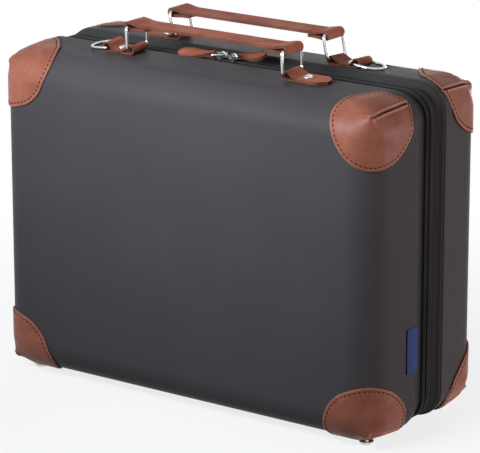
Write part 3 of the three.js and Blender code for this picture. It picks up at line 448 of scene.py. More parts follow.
def tray_piece(name, outside, inside, rim_depth, steps, material, body, slot, replaces, place):
    """A dished tray with a rounded rim."""
    quarter = [math.pi / 2 * (steps - i) / steps for i in range(steps + 1)]
    outer = [moulded_ring(outside, EDGE_RADIUS, turn, steps) for turn in quarter]
    inner = [moulded_ring(inside, EDGE_RADIUS, turn, steps) for turn in quarter]
    for depth in (EDGE_RADIUS + 2, rim_depth - 3):
        outer.append(moulded_ring(outside, depth, 0, steps))
        inner.append(moulded_ring(inside, depth, 0, steps))
    lip = (inside - outside) / 2
    rim = []
    for i in range(7):
        angle = math.pi * i / 6
        middle = (outside + inside) / 2 - lip * math.cos(angle)
        rim.append(moulded_ring(middle, rim_depth - lip + lip * math.sin(angle), 0, steps))
    rings = outer + rim + inner[::-1]
    count = len(rings[0])
    points, faces = loft(rings, capped=False)
    for start, level in ((0, outside - FACE_Y), ((len(rings) - 1) * count, inside - FACE_Y)):
        faces += face_panel(points, start, count, level)
    make_piece(name, points, faces, [material], body, slot, [replaces], place)


def face_panel(points, start, count, level):
    """The flat face inside a ring: a narrow border that takes the turn of the shading, then a panel."""
    shrink_x = 1 - FACE_BORDER / (FACE_WIDTH / 2)
    shrink_z = 1 - FACE_BORDER / (FACE_HEIGHT / 2)
    first = len(points)
    for x, _, z in points[start:start + count]:
        points.append((x * shrink_x, level, (z - MIDDLE_Z) * shrink_z + MIDDLE_Z))
    faces = [(start + j, start + (j + 1) % count, first + (j + 1) % count, first + j) for j in range(count)]
    middle = len(points)
    points.append((0, level, MIDDLE_Z))
    faces += [(first + j, first + (j + 1) % count, middle) for j in range(count)]
    return faces


# Leather corner caps

ALONG_DIAGONAL = np.array([1.0, 1, 1]) / math.sqrt(3)
TOWARDS_WIDTH = np.array([2.0, -1, -1]) / math.sqrt(6)
TOWARDS_DEPTH = np.array([0.0, 1, -1]) / math.sqrt(2)
DART_ANGLE = 2 * math.pi / 3
DART_LIMIT = 0.42  # radians to each side of the dart that its own stations take at most
DART_PLACES = (0.0, 0.35, 0.7, 1.05, 1.4, 1.8, 2.2, 2.7, 3.3, 4.1, 5.2)  # of stations beside the dart
PINCH_REACH = 11.5
# Rings of a cap: distances from its edge, then shares of the way that is left to its tip
EDGE_PLACES = (0.0, 0.15, 0.5, 1.0, 1.6, 2.3, 2.9, 3.3, 3.7, 4.2, 5.0, 6.5)
INNER_START = 8.0
INNER_SHARES = (0, 0.125, 0.25, 0.375, 0.5, 0.625, 0.7375, 0.8375, 0.9125, 0.9625, 0.9875)
STITCH_INSET, STITCH_PITCH, STITCH_LENGTH, STITCH_RADIUS = 3.2, 4.1, 2.7, 0.55
SEAM_START, SEAM_PITCH, SEAM_LENGTH, SEAM_RISE = 5, 3.4, 1.7, 0.95  # of the stitches on the dart
# Rings of points along a stitch: share of its length, share of its radius, rise in radii
STITCH_ENDS = ((0.5, 0.25, -0.9), (0.42, 0.75, -0.25), (0.2, 1, 0.1))
STITCH_RINGS = (*((-along, size, rise) for along, size, rise in STITCH_ENDS), *reversed(STITCH_ENDS))


def cap_reach(outline, angle):
    """A smooth closed curve through an outline's six reaches, for an array of angles."""
    count = len(outline)
    values = CAP_SIZE * np.array(outline)
    place = np.mod(angle / (2 * math.pi) * count, count)
    i = np.floor(place).astype(int)
    t = place - i
    a, b, c, d = (values[(i + k) % count] for k in (-1, 0, 1, 2))
    slope_in, slope_out = (c - a) / 2, (d - b) / 2
    cubic = 2 * b - 2 * c + slope_in + slope_out
    square = -3 * b + 3 * c - 2 * slope_in - slope_out
    return ((cubic * t + square) * t + slope_in) * t + b


def across_diagonal(angle, reach):
    """Points across the corner's diagonal."""
    wide, deep = reach * np.cos(angle), reach * np.sin(angle)
    return wide[..., None] * TOWARDS_WIDTH + deep[..., None] * TOWARDS_DEPTH


def diagonal_distance(across, offset):
    """How far along the diagonal the offset moulding lies, for an array of points across it."""
    out = np.full(across.shape[:-1], -80.0)
    within = np.full(across.shape[:-1], 160.0)
    for _ in range(36):
        middle = (out + within) / 2
        p = across + middle[..., None] * ALONG_DIAGONAL
        u = np.maximum(0, EDGE_RADIUS - p[..., 0] - SLOPE * p[..., 1])
        v = np.maximum(0, EDGE_RADIUS - p[..., 1])
        w = np.maximum(0, EDGE_RADIUS - p[..., 2] - SLOPE * p[..., 1])
        outside = np.sqrt(u * u + v * v + w * w) > EDGE_RADIUS + offset
        out = np.where(outside, middle, out)
        within = np.where(outside, within, middle)
    return (out + within) / 2


def cap_surface(angle, reach, offset):
    """Points of the cap's outer surface with its pinched tip, before the dart."""
    across = across_diagonal(angle, reach)
    plain = diagonal_distance(across, offset)
    pulled = diagonal_distance(np.zeros(3), offset) - APEX_INSET * math.sqrt(3)
    share = np.clip(1 - reach / PINCH_REACH, 0, 1) ** 2
    blunt = 0.35 * np.exp(-((reach / 0.9) ** 2))
    return across + (plain - pulled * share + blunt)[..., None] * ALONG_DIAGONAL


def cap_stations(spread_count):
    """Angular stations: (offset in mm from the dart or None, even angle)."""
    near = [(-d, None) for d in reversed(DART_PLACES[1:])] + [(d, None) for d in DART_PLACES]
    sweep = 2 * math.pi - 2 * DART_LIMIT
    even = [(None, DART_ANGLE + DART_LIMIT + sweep * i / spread_count) for i in range(1, spread_count)]
    return near + even


def station_angles(stations, reaches):
    """The stations' angles, each at its own reach, from dart offsets in mm where they have one."""
    found = []
    for (offset, even), reach in zip(stations, reaches):
        if offset is None:
            found.append(even)
            continue
        widest = DART_LIMIT * abs(offset) / DART_PLACES[-1]
        turn = math.asin(min(abs(offset) / max(reach, 0.01), 0.98))
        found.append(DART_ANGLE + math.copysign(min(turn, widest), offset))
    return np.array(found)


def dart_relief(lateral, reach, full):
    """Height of the leather over the plain cap beside the dart: two lips and a slot."""
    start = np.clip(reach / 2.5, 0, 1)
    end = np.clip((full - reach) / 3.0, 0, 1)
    rise = start * (0.45 + 0.55 * end)
    slot = -1.15 * np.exp(-((lateral / 0.85) ** 2))
    lips = 1.0 * np.exp(-(((np.abs(lateral) - 1.9) / 0.85) ** 2))
    outside = -0.3 * np.exp(-(((np.abs(lateral) - 3.6) / 0.8) ** 2))
    return (slot + lips + outside) * rise


def cap_grid(outline, spokes, offset):
    """The outer surface as a grid [ring][station] from edge to tip, its normals and its raised lips."""
    stations = cap_stations(spokes)
    fine = np.linspace(0, 1, 60)
    outset = station_angles(stations, [30] * len(stations))
    full = cap_reach(outline, outset)
    # Lengths along each spoke, so that the rings near the edge keep a true distance from it
    reaches = full[:, None] * (1 - fine)[None, :]
    spokes_out = cap_surface(np.broadcast_to(outset[:, None], reaches.shape), reaches, offset)
    along = [run_lengths(line) for line in spokes_out]
    surfaces, reliefs = [], []
    for start, share in [(place, 0) for place in EDGE_PLACES] + [(INNER_START, s) for s in INNER_SHARES]:
        reach = np.array([
            widest * (1 - np.interp(start + (lengths[-1] - start) * share, lengths, fine))
            for widest, lengths in zip(full, along)
        ])
        angle = station_angles(stations, reach)
        lateral = reach * np.sin(angle - DART_ANGLE)
        ahead = np.cos(angle - DART_ANGLE) > 0
        surfaces.append(cap_surface(angle, reach, offset))
        reliefs.append(np.where(ahead, dart_relief(lateral, reach, full), 0))
    grid, relief = np.array(surfaces), np.array(reliefs)
    normals = grid_normals(grid)
    return grid + normals * relief[..., None], normals, np.clip(relief, 0, 1) ** 1.5


def grid_normals(grid):
    """Normals of a grid that closes on itself along its second index, pointing away from the case."""
    along = np.gradient(grid, axis=0)
    around = np.roll(grid, -1, 1) - np.roll(grid, 1, 1)
    normal = np.cross(along, around)
    normal /= np.linalg.norm(normal, axis=-1, keepdims=True) + 1e-9
    facing = np.sign(normal @ ALONG_DIAGONAL).mean()
    return -normal * facing


def corner_to_case(points, side_x, side_z):
    """From the corner's own coordinates to the front half's."""
    p = np.asarray(points)
    return np.stack([
        side_x * (FACE_WIDTH / 2 - p[..., 0]),
        p[..., 1] - FACE_Y,
        MIDDLE_Z + side_z * (FACE_HEIGHT / 2 - p[..., 2]),
    ], -1)


def cap_solid(outline):
    """Points and faces of a cap in the corner's own coordinates, and a list of its stitches."""
    spokes = 64
    offset = LEATHER_GAP + LEATHER
    grid, normals, lips = cap_grid(outline, spokes, offset)
    rings, count = grid.shape[:2]
    # The stitch line sits in a shallow furrow
    distance = np.array([EDGE_PLACES[k] if k < len(EDGE_PLACES) else 99 for k in range(rings)])
    furrow = -0.3 * np.exp(-(((distance - STITCH_INSET) / 0.55) ** 2))
    # Painted highlight: paler along the crests of the dart's lips and near the cut edge, where they catch
    # the light
    painted_highlight = np.maximum(0.75 * lips, 0.2 * np.exp(-(((distance - 0.5) / 0.8) ** 2))[:, None])
    edge_round = -0.8 * np.clip(1 - distance / 1.0, 0, 1) ** 2.2
    grid = grid + normals * (furrow + edge_round)[:, None, None]
    # The cut edge bulges a little, and the flesh side reaches in under the cap
    thick = LEATHER - 0.9
    edge = [grid[0] - normals[0] * thick * drop + (grid[0] - grid[2]) * out
            for drop, out in ((0.25, 0.06), (0.6, 0), (1, 0))]
    under = [grid[k] - normals[k] * (LEATHER - 0.15) for k in (4, 9)]
    stack = [*grid[::-1], *edge, *under]
    points = np.concatenate(stack)
    highlight_shares = np.zeros(len(points) + 1)
    highlight_shares[:rings * count] = painted_highlight[::-1].ravel()
    faces = loft_faces(len(stack), count, capped=False)
    rows = np.arange(len(faces)) // count
    material = ((rows >= rings - 3).astype(int) + (rows >= rings + 3)).tolist() + [0] * count
    tip = len(points)
    points = np.concatenate([points, grid[-1].mean(0, keepdims=True)])
    faces += [((j + 1) % count, j, tip) for j in range(count)]
    return points, faces, material, highlight_shares, cap_stitches(grid, normals)


def cap_stitches(grid, normals):
    """Stitches round the edge and across the dart: (middle, direction, normal, length)."""
    ring = EDGE_PLACES.index(3.3)  # the ring next to the furrow
    line = np.concatenate([grid[ring], grid[ring, :1]])
    up = np.concatenate([normals[ring], normals[ring, :1]])
    lengths = run_lengths(line)
    total = lengths[-1]
    number = round(total / STITCH_PITCH)
    found = []
    for i in range(number):
        s = (i + 0.5) * total / number
        point, ahead = (at_length(place, lengths, line) for place in (s, (s + 0.8) % total))
        found.append((point, ahead - point, at_length(s, lengths, up), STITCH_LENGTH))
    dart = len(DART_PLACES) - 1
    seam, up = grid[:, dart], normals[:, dart]
    across = grid[:, dart + 4] - grid[:, dart - 4]
    lengths = run_lengths(seam)
    number = int((lengths[-1] - 2 * SEAM_START) / SEAM_PITCH)
    for i in range(number):
        s = SEAM_START + i * SEAM_PITCH
        point, normal, side = (at_length(s, lengths, rows) for rows in (seam, up, across))
        found.append((point + normal * SEAM_RISE, side, normal, SEAM_LENGTH))
    return found


def stitch_mesh(stitches, radius):
    """Small rounded lengths of thread, each half sunk: points and faces."""
    points, faces = [], []
    for middle, direction, normal, length in stitches:
        d = np.asarray(direction, float)
        d = d / (np.linalg.norm(d) + 1e-9)
        n = np.asarray(normal, float)
        n = n - d * (n @ d)
        n = n / (np.linalg.norm(n) + 1e-9)
        b = np.cross(d, n)
        rings = []
        for along, size, rise in STITCH_RINGS:
            centre = middle + d * (along * length) + n * (radius * rise)
            rings.append([centre + (n * math.cos(a) + b * math.sin(a)) * radius * size for a in turns(6)])
        add_loft(points, faces, rings)
    return points, faces


def thread_piece(name, sewn, body, place):
    """The stitches of a piece, from their points and faces."""
    make_piece(name, *sewn, [THREAD], body, "leather", (), place)


def cap_pieces():
    """The eight corner caps and their stitches."""
    for (side, side_z), outline in CAP_OUTLINES.items():
        points, faces, material, highlight_shares, stitches = cap_solid(outline)
        level = "top" if side_z > 0 else "bottom"
        placed = corner_to_case(points, side, side_z)
        local = []
        for middle, direction, normal, length in stitches:
            ends = (middle, middle + direction, middle + normal)
            p, q, r = (corner_to_case(v, side, side_z) for v in ends)
            local.append((p, q - p, r - p, length))
        sewn = stitch_mesh(local, STITCH_RADIUS)
        for label, turn, names in HALVES:
            body, title = f"{label}_half", f"{label}_{level}_{names[0] if side < 0 else names[1]}"
            make_piece(f"cap_{title}", placed, faces, CAP_LEATHERS, body, "leather",
                       [f"corner_{title}"], HALF_TURN[turn], material, painted_highlight=highlight_shares)
            thread_piece(f"cap_stitches_{title}", sewn, body, HALF_TURN[turn])


# Zip and bindings

def zip_path(spacing=None):
    """Stations of the zip round the case: (x, z, outward x, outward z), z from the middle."""
    wide = FACE_WIDTH / 2 + DRAFT
    tall = FACE_HEIGHT / 2 + DRAFT
    outline = rounded_outline(wide, tall, EDGE_RADIUS, FACETS, hold=False)
    quarter = FACETS + 1
    tail = wide - EDGE_RADIUS - ZIP_TAIL
    stations = [(tail, -tall, 0, -1)]
    for k in (3, 0, 1, 2):
        stations += outline[k * quarter:(k + 1) * quarter]
    stations.append((-tail, -tall, 0, -1))
    if not spacing:
        return stations
    lengths = run_lengths(np.array(stations)[:, :2])
    even = at_length(np.arange(spacing / 2, lengths[-1], spacing), lengths, stations)
    even[:, 2:] /= np.linalg.norm(even[:, 2:], axis=1, keepdims=True)
    return [tuple(row) for row in even]


def strip_rings(stations, sections):
    """Rings of points along the stations, with a section of (y, depth in from the rim) at each."""
    rings = []
    for (x, z, nx, nz), section in zip(stations, sections):
        rings.append([(x - nx * depth, y, z - nz * depth + MIDDLE_Z) for y, depth in section])
    return rings


def strip_piece(name, stations, sections, material, body, replaces, place, sharp):
    """A strip of cloth along the stations."""
    points, faces = loft(strip_rings(stations, sections))
    make_piece(name, points, faces, [material], body, "webbing", [replaces], place, sharp=sharp)


def binding_section(low_share):
    """From inside the shell, up beside the rim, over a crown, then sloping to the tape: (y, depth)."""
    back, foot, nose = -RIM_Y - BINDING_INSIDE, -RIM_Y + 0.2, -RIM_Y + BINDING_SHOWN
    low = BINDING_TOP + BINDING_THICK
    crown = BINDING_CROWN + (LOW_CROWN - BINDING_CROWN) * low_share
    hem = -RIM_Y + BINDING_REACH + (LOW_REACH - BINDING_REACH) * low_share
    section = [(back, BINDING_TOP), (foot, BINDING_TOP), (foot, crown + 0.3)]
    section += [(foot + 0.35, crown), (nose - 1.5, crown + 0.25), (nose - 1.25, crown + 0.5)]
    for i in range(7):
        turn = math.radians(62) * i / 6
        section.append((nose - 1 + math.sin(turn), crown + 1.35 - math.cos(turn)))
    section += [(hem - 0.4, TAPE_TOP - 0.55), (hem, TAPE_TOP - 0.35), (hem, TAPE_TOP - 0.1)]
    return section + [(nose, low), (back, low)]


def zip_pieces():
    """The bindings, the tapes and the coil with its sewing threads."""
    path = zip_path()
    teeth = zip_path(TEETH_PITCH)
    low = TAPE_TOP + TAPE_THICK
    tape = [(-RIM_Y - TAPE_INSIDE, TAPE_TOP), (-9.2, TAPE_TOP), (-8.7, TAPE_TOP + 0.2), (-8.2, TAPE_TOP),
            (-ZIP_SLOT / 2, TAPE_TOP), (-ZIP_SLOT / 2, low), (-RIM_Y - TAPE_INSIDE, low)]
    for label, turn, _ in HALVES:
        body, place = f"{label}_half", HALF_TURN[turn]
        sections = [binding_section(max(nz, 0) ** 2 if label == "front" else 0) for _, _, _, nz in path]
        strip_piece(f"binding_{label}", path, sections, BINDING, body, f"{label}_rim_binding", place, 40)
        strip_piece(f"tape_{label}", path, [tape] * len(path), WEBBING, body,
                    f"{label}_zip_tape", place, 40)
        points, faces = [], []
        for tooth in teeth:
            coil_tooth(points, faces, *tooth)
        for offset in (2.2, 4.4):
            sewn_cord(points, faces, path, -ZIP_SLOT / 2 - offset, TEETH_TOP + 0.25, 0.3)
        make_piece(f"coil_{label}", points, faces, [COIL], body, "zip_coil", [f"{label}_zip_teeth"], place)


def coil_tooth(points, faces, x, z, nx, nz):
    """One loop of the coil: a rounded bar from the tape to its head near the zip line."""
    tx, tz = -nz, nx
    head = -ZIP_SLOT / 2 + 0.05
    tail = -ZIP_SLOT / 2 - TEETH_WIDTH
    # Along the loop: (y, half its width, depth of its middle in the teeth)
    stations = [(tail, 0.35, TEETH_THICK * 0.7), (tail + 0.6, 0.55, TEETH_THICK * 0.35),
                (head - 1.6, 0.55, 0.62), (head - 0.7, 0.72, 0.55),
                (head - 0.2, 0.6, 0.72), (head, 0.3, 0.95)]
    lean = 0.5  # along the zip, from end to end
    rings = []
    for y, wide, deep in stations:
        ring = []
        for a in turns(6):
            along = wide * math.cos(a) + lean * (y - head) / TEETH_WIDTH
            depth = TEETH_TOP + deep - 0.55 * math.sin(a)
            ring.append((x + tx * along - nx * depth, y, z + tz * along - nz * depth + MIDDLE_Z))
        rings.append(ring)
    add_loft(points, faces, rings)


def sewn_cord(points, faces, path, y, depth, radius):
    """A thread that runs along the coil."""
    section = [(y + radius * math.cos(a), depth - radius * math.sin(a)) for a in turns(6)]
    add_loft(points, faces, strip_rings(path, [section] * len(path)))


def hinge_pieces():
    """The folded band under the case and its sewn edges inside the rims."""
    half_length = FACE_WIDTH / 2 + DRAFT - EDGE_RADIUS - ZIP_TAIL - 3
    z = -FACE_HEIGHT / 2 - DRAFT
    stations = [(x, z, 0, -1) for x in np.linspace(-half_length, half_length, 9)]
    half = RIM_Y - GAP
    folds = 3  # to each side of the middle
    rises = []
    for y in np.linspace(-half, half, 37):
        rises.append((y, 0.45 + 0.4 * math.cos(2 * math.pi * (y / half) * folds)))
    section = [(y, TAPE_TOP + r - 0.4) for y, r in rises]
    section += [(y, TAPE_TOP + r + HINGE_BAND_THICK - 0.6) for y, r in reversed(rises)]
    strip_piece("hinge_fabric", stations, [section] * len(stations), WEBBING, "hinge",
                "hinge_band", None, 50)
    back, front = -RIM_Y - BINDING_INSIDE, -RIM_Y - GAP
    low = TAPE_TOP + HINGE_BAND_THICK
    flat = [(back, BINDING_TOP), (front, BINDING_TOP), (front, low), (back, low)]
    for label, turn, _ in HALVES:
        strip_piece(f"hinge_seat_{label}", stations, [flat] * len(stations), WEBBING, f"{label}_half",
                    f"{label}_hinge_strip", HALF_TURN[turn], 30)


# Folded leather

def arc_points(x, z, radius, first, last, steps=20):
    """Points round a fold, from one angle to another in degrees."""
    angles = [math.radians(first + (last - first) * i / steps) for i in range(steps + 1)]
    return [(x + radius * math.cos(a), z + radius * math.sin(a)) for a in angles]


def resampled(path, spacing):
    """A smooth dense version of a path of (x, z) points."""
    p = np.array(path, float)
    for _ in range(2):
        q = [p[0]]
        for a, b in zip(p[:-1], p[1:]):
            q += [a * 0.75 + b * 0.25, a * 0.25 + b * 0.75]
        q.append(p[-1])
        p = np.array(q)
    lengths = run_lengths(p)
    number = max(8, int(lengths[-1] / spacing))
    return at_length(np.linspace(0, lengths[-1], number + 1), lengths, p)


def ribbon_section(half_width, thickness, grooved):
    """Section of a strap: (across, up) points round it, and whether each belongs to a cut edge."""
    t = thickness / 2
    r = min(0.55, t * 0.6)
    top = []
    for share in (-1, -0.94, -0.86, -0.5, 0, 0.5, 0.86, 0.94, 1):
        y = share * (half_width - r)
        crease = -0.14 * math.exp(-(((half_width - abs(y) - 2.2) / 0.45) ** 2))
        top.append((y, t + crease - 0.05, False))
    side = []
    for i in range(1, 4):
        a = math.pi / 2 * i / 4
        side.append((half_width - r + r * math.sin(a), t - r + r * math.cos(a), True))
    if grooved:
        side += [(half_width, t - r - 0.05, True), (half_width, 0.22, True), (half_width - 0.45, 0.0, True),
                 (half_width, -0.22, True), (half_width, -t + r + 0.05, True)]
    else:
        side += [(half_width, 0.0, True)]
    side += [(y, -z, True) for y, z, _ in reversed(side[:3])]
    bottom = [(-y, -z, False) for y, z, _ in top]
    other = [(-y, -z, True) for y, z, _ in side]
    return top + side + bottom + other


def ribbon(path, thickness, width_at, grooved=False):
    """A folded strap along a path of (x, z): points, faces and their materials."""
    p = np.asarray(path)
    tangent = unit_tangents(p)
    normal = np.stack([-tangent[:, 1], tangent[:, 0]], 1)
    rings = []
    for place, out in zip(p, normal):
        section = ribbon_section(max(width_at(place[0]) / 2, 0.8), thickness, grooved)
        rings.append([(place[0] + out[0] * up, y, place[1] + out[1] * up) for y, up, _ in section])
    cut = [edge for _, _, edge in section]
    around = []
    for j in range(len(cut)):
        flat = 0 if j < len(cut) / 2 else 2
        around.append(1 if cut[j] or cut[(j + 1) % len(cut)] else flat)
    points, faces = loft(rings)
    return points, faces, around * (len(p) - 1) + [1, 1]


def hardware_matrix(x, z, turned=False):
    """The frame of the hardware on the top of the front shell, as the solids have it."""
    base = Matrix.Translation((0, -HARDWARE_Y, FACE_LIFT + FACE_HEIGHT + SLOPE * (FACE_Y - HARDWARE_Y)))
    made = base @ Matrix.Rotation(SLOPE_ANGLE, 4, "X") @ Matrix.Translation((x, 0, z))
    return made @ Matrix.Rotation(math.pi, 4, "Z") if turned else made


def hardware_places():
    """The tops of the shells where the tabs lie: (label, half's turn, side, side's name, matrix)."""
    for label, turn, names in HALVES:
        for side, name in zip((-1, 1), names):
            yield label, turn, side, name, HALF_TURN[turn] @ hardware_matrix(side * RING_X, 0, side < 0)


def leather_strip(name, path, thickness, width_at, body, replaces, place, grooved=False):
    """A strap or tab along a path of (x, z), with its width as a function of x."""
    points, faces, material = ribbon(path, thickness, width_at, grooved)
    make_piece(name, points, faces, STRAP_LEATHERS, body, "leather", [replaces], place, material)


def tongue_width(x):
    """Width of the pointed tab at a place along it."""
    over = max(0.0, x - (TAB_TONGUE - TAB_CHAMFER))
    return TAB_WIDTH - 2 * over


def tab_pieces():
    """The riveted tabs: thinner leather than the solids have, drawn close over the wires."""
    low = GAP + TAB_PLY / 2
    high = low + TAB_PLY + 0.1
    crest = RING_BAR_Z - RING_DROP + RING_WIRE + 0.2 + TAB_PLY / 2
    turn = (crest - low) / 2
    first = [(6, low), *arc_points(0, low + turn, turn, 270, CREST_END), (9.2, high + 0.15), (11, high)]
    tongue = [(TAB_TONGUE, low), *first, (14, high), (TAB_TONGUE, high)]
    seam = D_BAR_X / 2
    loop = 3.5
    double = [(seam - 0.6, low), *first, (RIVET_X + RIVET_HEAD - 0.4, high),
              *arc_points(D_BAR_X + 0.3, low + loop, loop, 140, -90), (seam + 6, low), (seam + 0.6, low)]
    for label, _, side, name, place in hardware_places():
        path, width_at = (double, lambda x: TAB_WIDTH) if side < 0 else (tongue, tongue_width)
        leather_strip(f"tab_{label}_{name}", resampled(path, 0.5), TAB_PLY, width_at, f"{label}_half",
                      f"handle_tab_{label}_{name}", place)


def strap_pieces():
    """The straps hang level, although the tops of the shells slope, and lie close round the rings."""
    fold = RING_WIRE + 0.35 + STRAP_LEATHER / 2
    main = fold - 2.1
    flap = main - STRAP_LEATHER - PLY_GAP
    half = [(-RING_X + STRAP_FLAP, flap), (-RING_X + 12, flap), (-RING_X + 8, flap - FLAP_DIP),
            *arc_points(-RING_X, 0, fold, 270, 84), (-RING_X + 5, fold - 0.7), (-RING_X + 10, main + 0.2),
            (-RING_X + 15, main), (-RING_X + 24, main)]
    path = [*half, (0, main), *((-x, z) for x, z in reversed(half))]
    for label, turn, _ in HALVES:
        lean = math.radians(LEAN[turn])
        shift, height = RING_HEIGHT * math.sin(lean), RING_BAR_Z + RING_HEIGHT * math.cos(lean)
        place = HALF_TURN[turn] @ hardware_matrix(shift, height) @ Matrix.Rotation(-SLOPE_ANGLE, 4, "X")
        leather_strip(f"strap_{label}", resampled(path, 0.6), STRAP_LEATHER, lambda x: STRAP_WIDTH,
                      f"handle_{label}", f"handle_strap_{label}", place, grooved=True)


# Wire

def wire_piece(name, corners, bend, wire, body, replaces, place, upright=True, sides=14):
    """A closed loop of round wire, upright or lying flat; a corner may have a bend of its own."""
    path = []
    count = len(corners)
    for i, corner in enumerate(corners):
        here = np.array(corner[:2], float)
        before = np.array(corners[i - 1][:2], float) - here
        after = np.array(corners[(i + 1) % count][:2], float) - here
        before /= np.linalg.norm(before)
        after /= np.linalg.norm(after)
        half = math.acos(before @ after) / 2
        radius = corner[2] if len(corner) > 2 else bend
        inward = (before + after) / np.linalg.norm(before + after)
        centre = here + inward * radius / math.sin(half)
        cut = radius / math.tan(half)
        first = here + before * cut - centre
        last = here + after * cut - centre
        sweep = math.atan2(first[0] * last[1] - first[1] * last[0], first @ last)
        steps = max(8, round(radius * 2))
        for k in range(steps + 1):
            a = sweep * k / steps
            arm = np.array([first[0] * math.cos(a) - first[1] * math.sin(a),
                            first[0] * math.sin(a) + first[1] * math.cos(a)])
            path.append((centre + arm, arm / radius))
    rings = []
    for spot, out in path:
        ring = []
        for a in turns(sides):
            flat, up = spot + out * wire * math.cos(a), wire * math.sin(a)
            ring.append((up, *flat) if upright else (*flat, up))
        rings.append(ring)
    points, faces = loft(rings, closed=True)
    make_piece(name, points, faces, [CHROME], body, "chrome", [replaces], place)


def ring_pieces():
    """The rings of the handles and the two D-rings."""
    half = RING_WIDTH / 2
    ring = [(-half, -RING_DROP), (half, -RING_DROP), (half, RING_HEIGHT), (-half, RING_HEIGHT)]
    reach = D_WIDTH / 2
    end, rounding = D_ARM + reach, reach - 0.01
    dee = [(0, -reach), (0, reach), (end, reach, rounding), (end, -reach, rounding)]
    tilt = Matrix.Rotation(math.asin((D_BAR_Z - D_WIRE - GAP) / end), 4, "Y")
    for label, turn, names in HALVES:
        for side, name in zip((-1, 1), names):
            lean = Matrix.Rotation(math.radians(side * LEAN[turn]), 4, "Y")
            place = HALF_TURN[turn] @ hardware_matrix(side * RING_X, RING_BAR_Z, side < 0) @ lean
            wire_piece(f"wire_ring_{label}_{name}", ring, RING_BEND, RING_WIRE, f"ring_{label}_{name}",
                       f"handle_ring_{label}_{name}", place)
        place = HALF_TURN[turn] @ hardware_matrix(-RING_X, 0, True)
        place = place @ Matrix.Translation((D_BAR_X, 0, D_BAR_Z)) @ tilt
        wire_piece(f"wire_dee_{label}", dee, D_BEND, D_WIRE, f"dring_{label}", f"d_ring_{label}", place,
                   upright=False)


# Studs

def stud_pieces():
    """The rivets of the tabs and the feet."""
    low = TAB_TOP - 0.1
    head = [(0, -6), (1.6, -6), (1.6, low), (RIVET_HEAD - 0.4, low), (RIVET_HEAD, low + 0.25),
            (RIVET_HEAD, low + 0.55), (RIVET_HEAD - 0.35, low + 0.85), (3.2, low + 1.15), (2.4, low + 1.35),
            (1.4, low + 1.5), (0.5, low + 1.56), (0, low + 1.57)]
    rivet = Matrix.Translation((RIVET_X, 0, 0))
    for label, turn, side, name, place in hardware_places():
        lathe_piece(f"stud_{label}_{name}", head, CHROME, f"{label}_half", "chrome",
                    [f"rivet_{label}_{name}"], place @ rivet)
        foot_piece(label, turn, side, name)


def lathe_piece(name, profile, material, body, slot, replaces, place, sides=40):
    """A turned piece from (radius, height) pairs."""
    rings = []
    for radius, height in profile:
        r = max(radius, 0.01)
        rings.append([(r * math.cos(a), r * math.sin(a), height) for a in turns(sides)])
    points, faces = loft(rings)
    make_piece(name, points, faces, [material], body, slot, replaces, place, sharp=50)


def foot_piece(label, turn, side, name):
    """A domed foot on the lower leather cap."""
    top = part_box(f"foot_{label}_{name}")[1].z / MM
    seat = 3.1
    r = FOOT_RADIUS
    dome = [(0, 0), (FOOT_FLAT, 0), (r * 0.6, 0.25), (r * 0.8, 0.8), (r * 0.92, 1.5), (r, 2.3), (r, seat),
            (1.6, seat), (1.6, top - 0.6), (0, top - 0.6)]
    place = HALF_TURN[turn] @ Matrix.Translation((side * FOOT_X, -FOOT_Y, 0))
    lathe_piece(f"foot_stud_{label}_{name}", dome, STUD, f"{label}_half", "foot",
                [f"foot_{label}_{name}"], place)


# Sliders and pulls

def round_edges(piece, width):
    """Rounds the edges of a piece."""
    bevel = piece.modifiers.new("rounded", "BEVEL")
    bevel.width = width * MM
    bevel.segments = 3
    bevel.limit_method = "ANGLE"
    bevel.angle_limit = math.radians(35)


def slider_pieces():
    """The two zip sliders: two plates, a post between them and a flange."""
    half = SLIDER_LENGTH / 2
    wide = ZIP_SLOT / 2 + TEETH_WIDTH + SLIDER_MARGIN + 0.8
    plan = [(-half, -wide + 2.2), (-half + 0.7, -wide + 0.7), (-half + 2.2, -wide), (half - 5, -wide),
            (half - 2.5, -wide * 0.82), (half - 0.5, -wide * 0.5), (half, -wide * 0.2)]
    plan += [(x, -y) for x, y in reversed(plan)]
    low = -TAPE_TOP - TAPE_THICK - SLIDER_MARGIN
    post = [(half - 6, -0.45), (half - 1, -0.45), (half - 1, 0.45), (half - 6, 0.45)]
    flange = [(-half + 1.5, -wide), (half - 4, -wide), (half - 4, -wide + 0.8), (-half + 1.5, -wide + 0.8)]
    for name, side in (("left", -1), ("right", 1)):
        spot = Matrix.Translation((ZIP_MEET + side * SLIDER_X, 0, RIM_TOP))
        place = spot @ Matrix.Diagonal((-side, 1, 1, 1))
        points, faces = [], []
        for outline, bottom, top in ((plan, PLATE_LOW, PLATE_HIGH), (plan, low - 1.2, low),
                                     (post, low - 0.2, PLATE_LOW + 0.2),
                                     (flange, PLATE_LOW - 1.2, PLATE_LOW + 0.2)):
            add_loft(points, faces, [[(x, y, z) for x, y in outline] for z in (bottom, top)])
        # The chrome slider bodies take a dark colour: painted dark reflection
        piece = make_piece(f"slider_body_{name}", points, faces, [CHROME_PAINTED_DARK], f"slider_{name}", "chrome",
                           [f"zip_slider_{name}"], place, sharp=35)
        round_edges(piece, 0.35)
        arch_piece(name, place)
        pull_pieces(name, side)


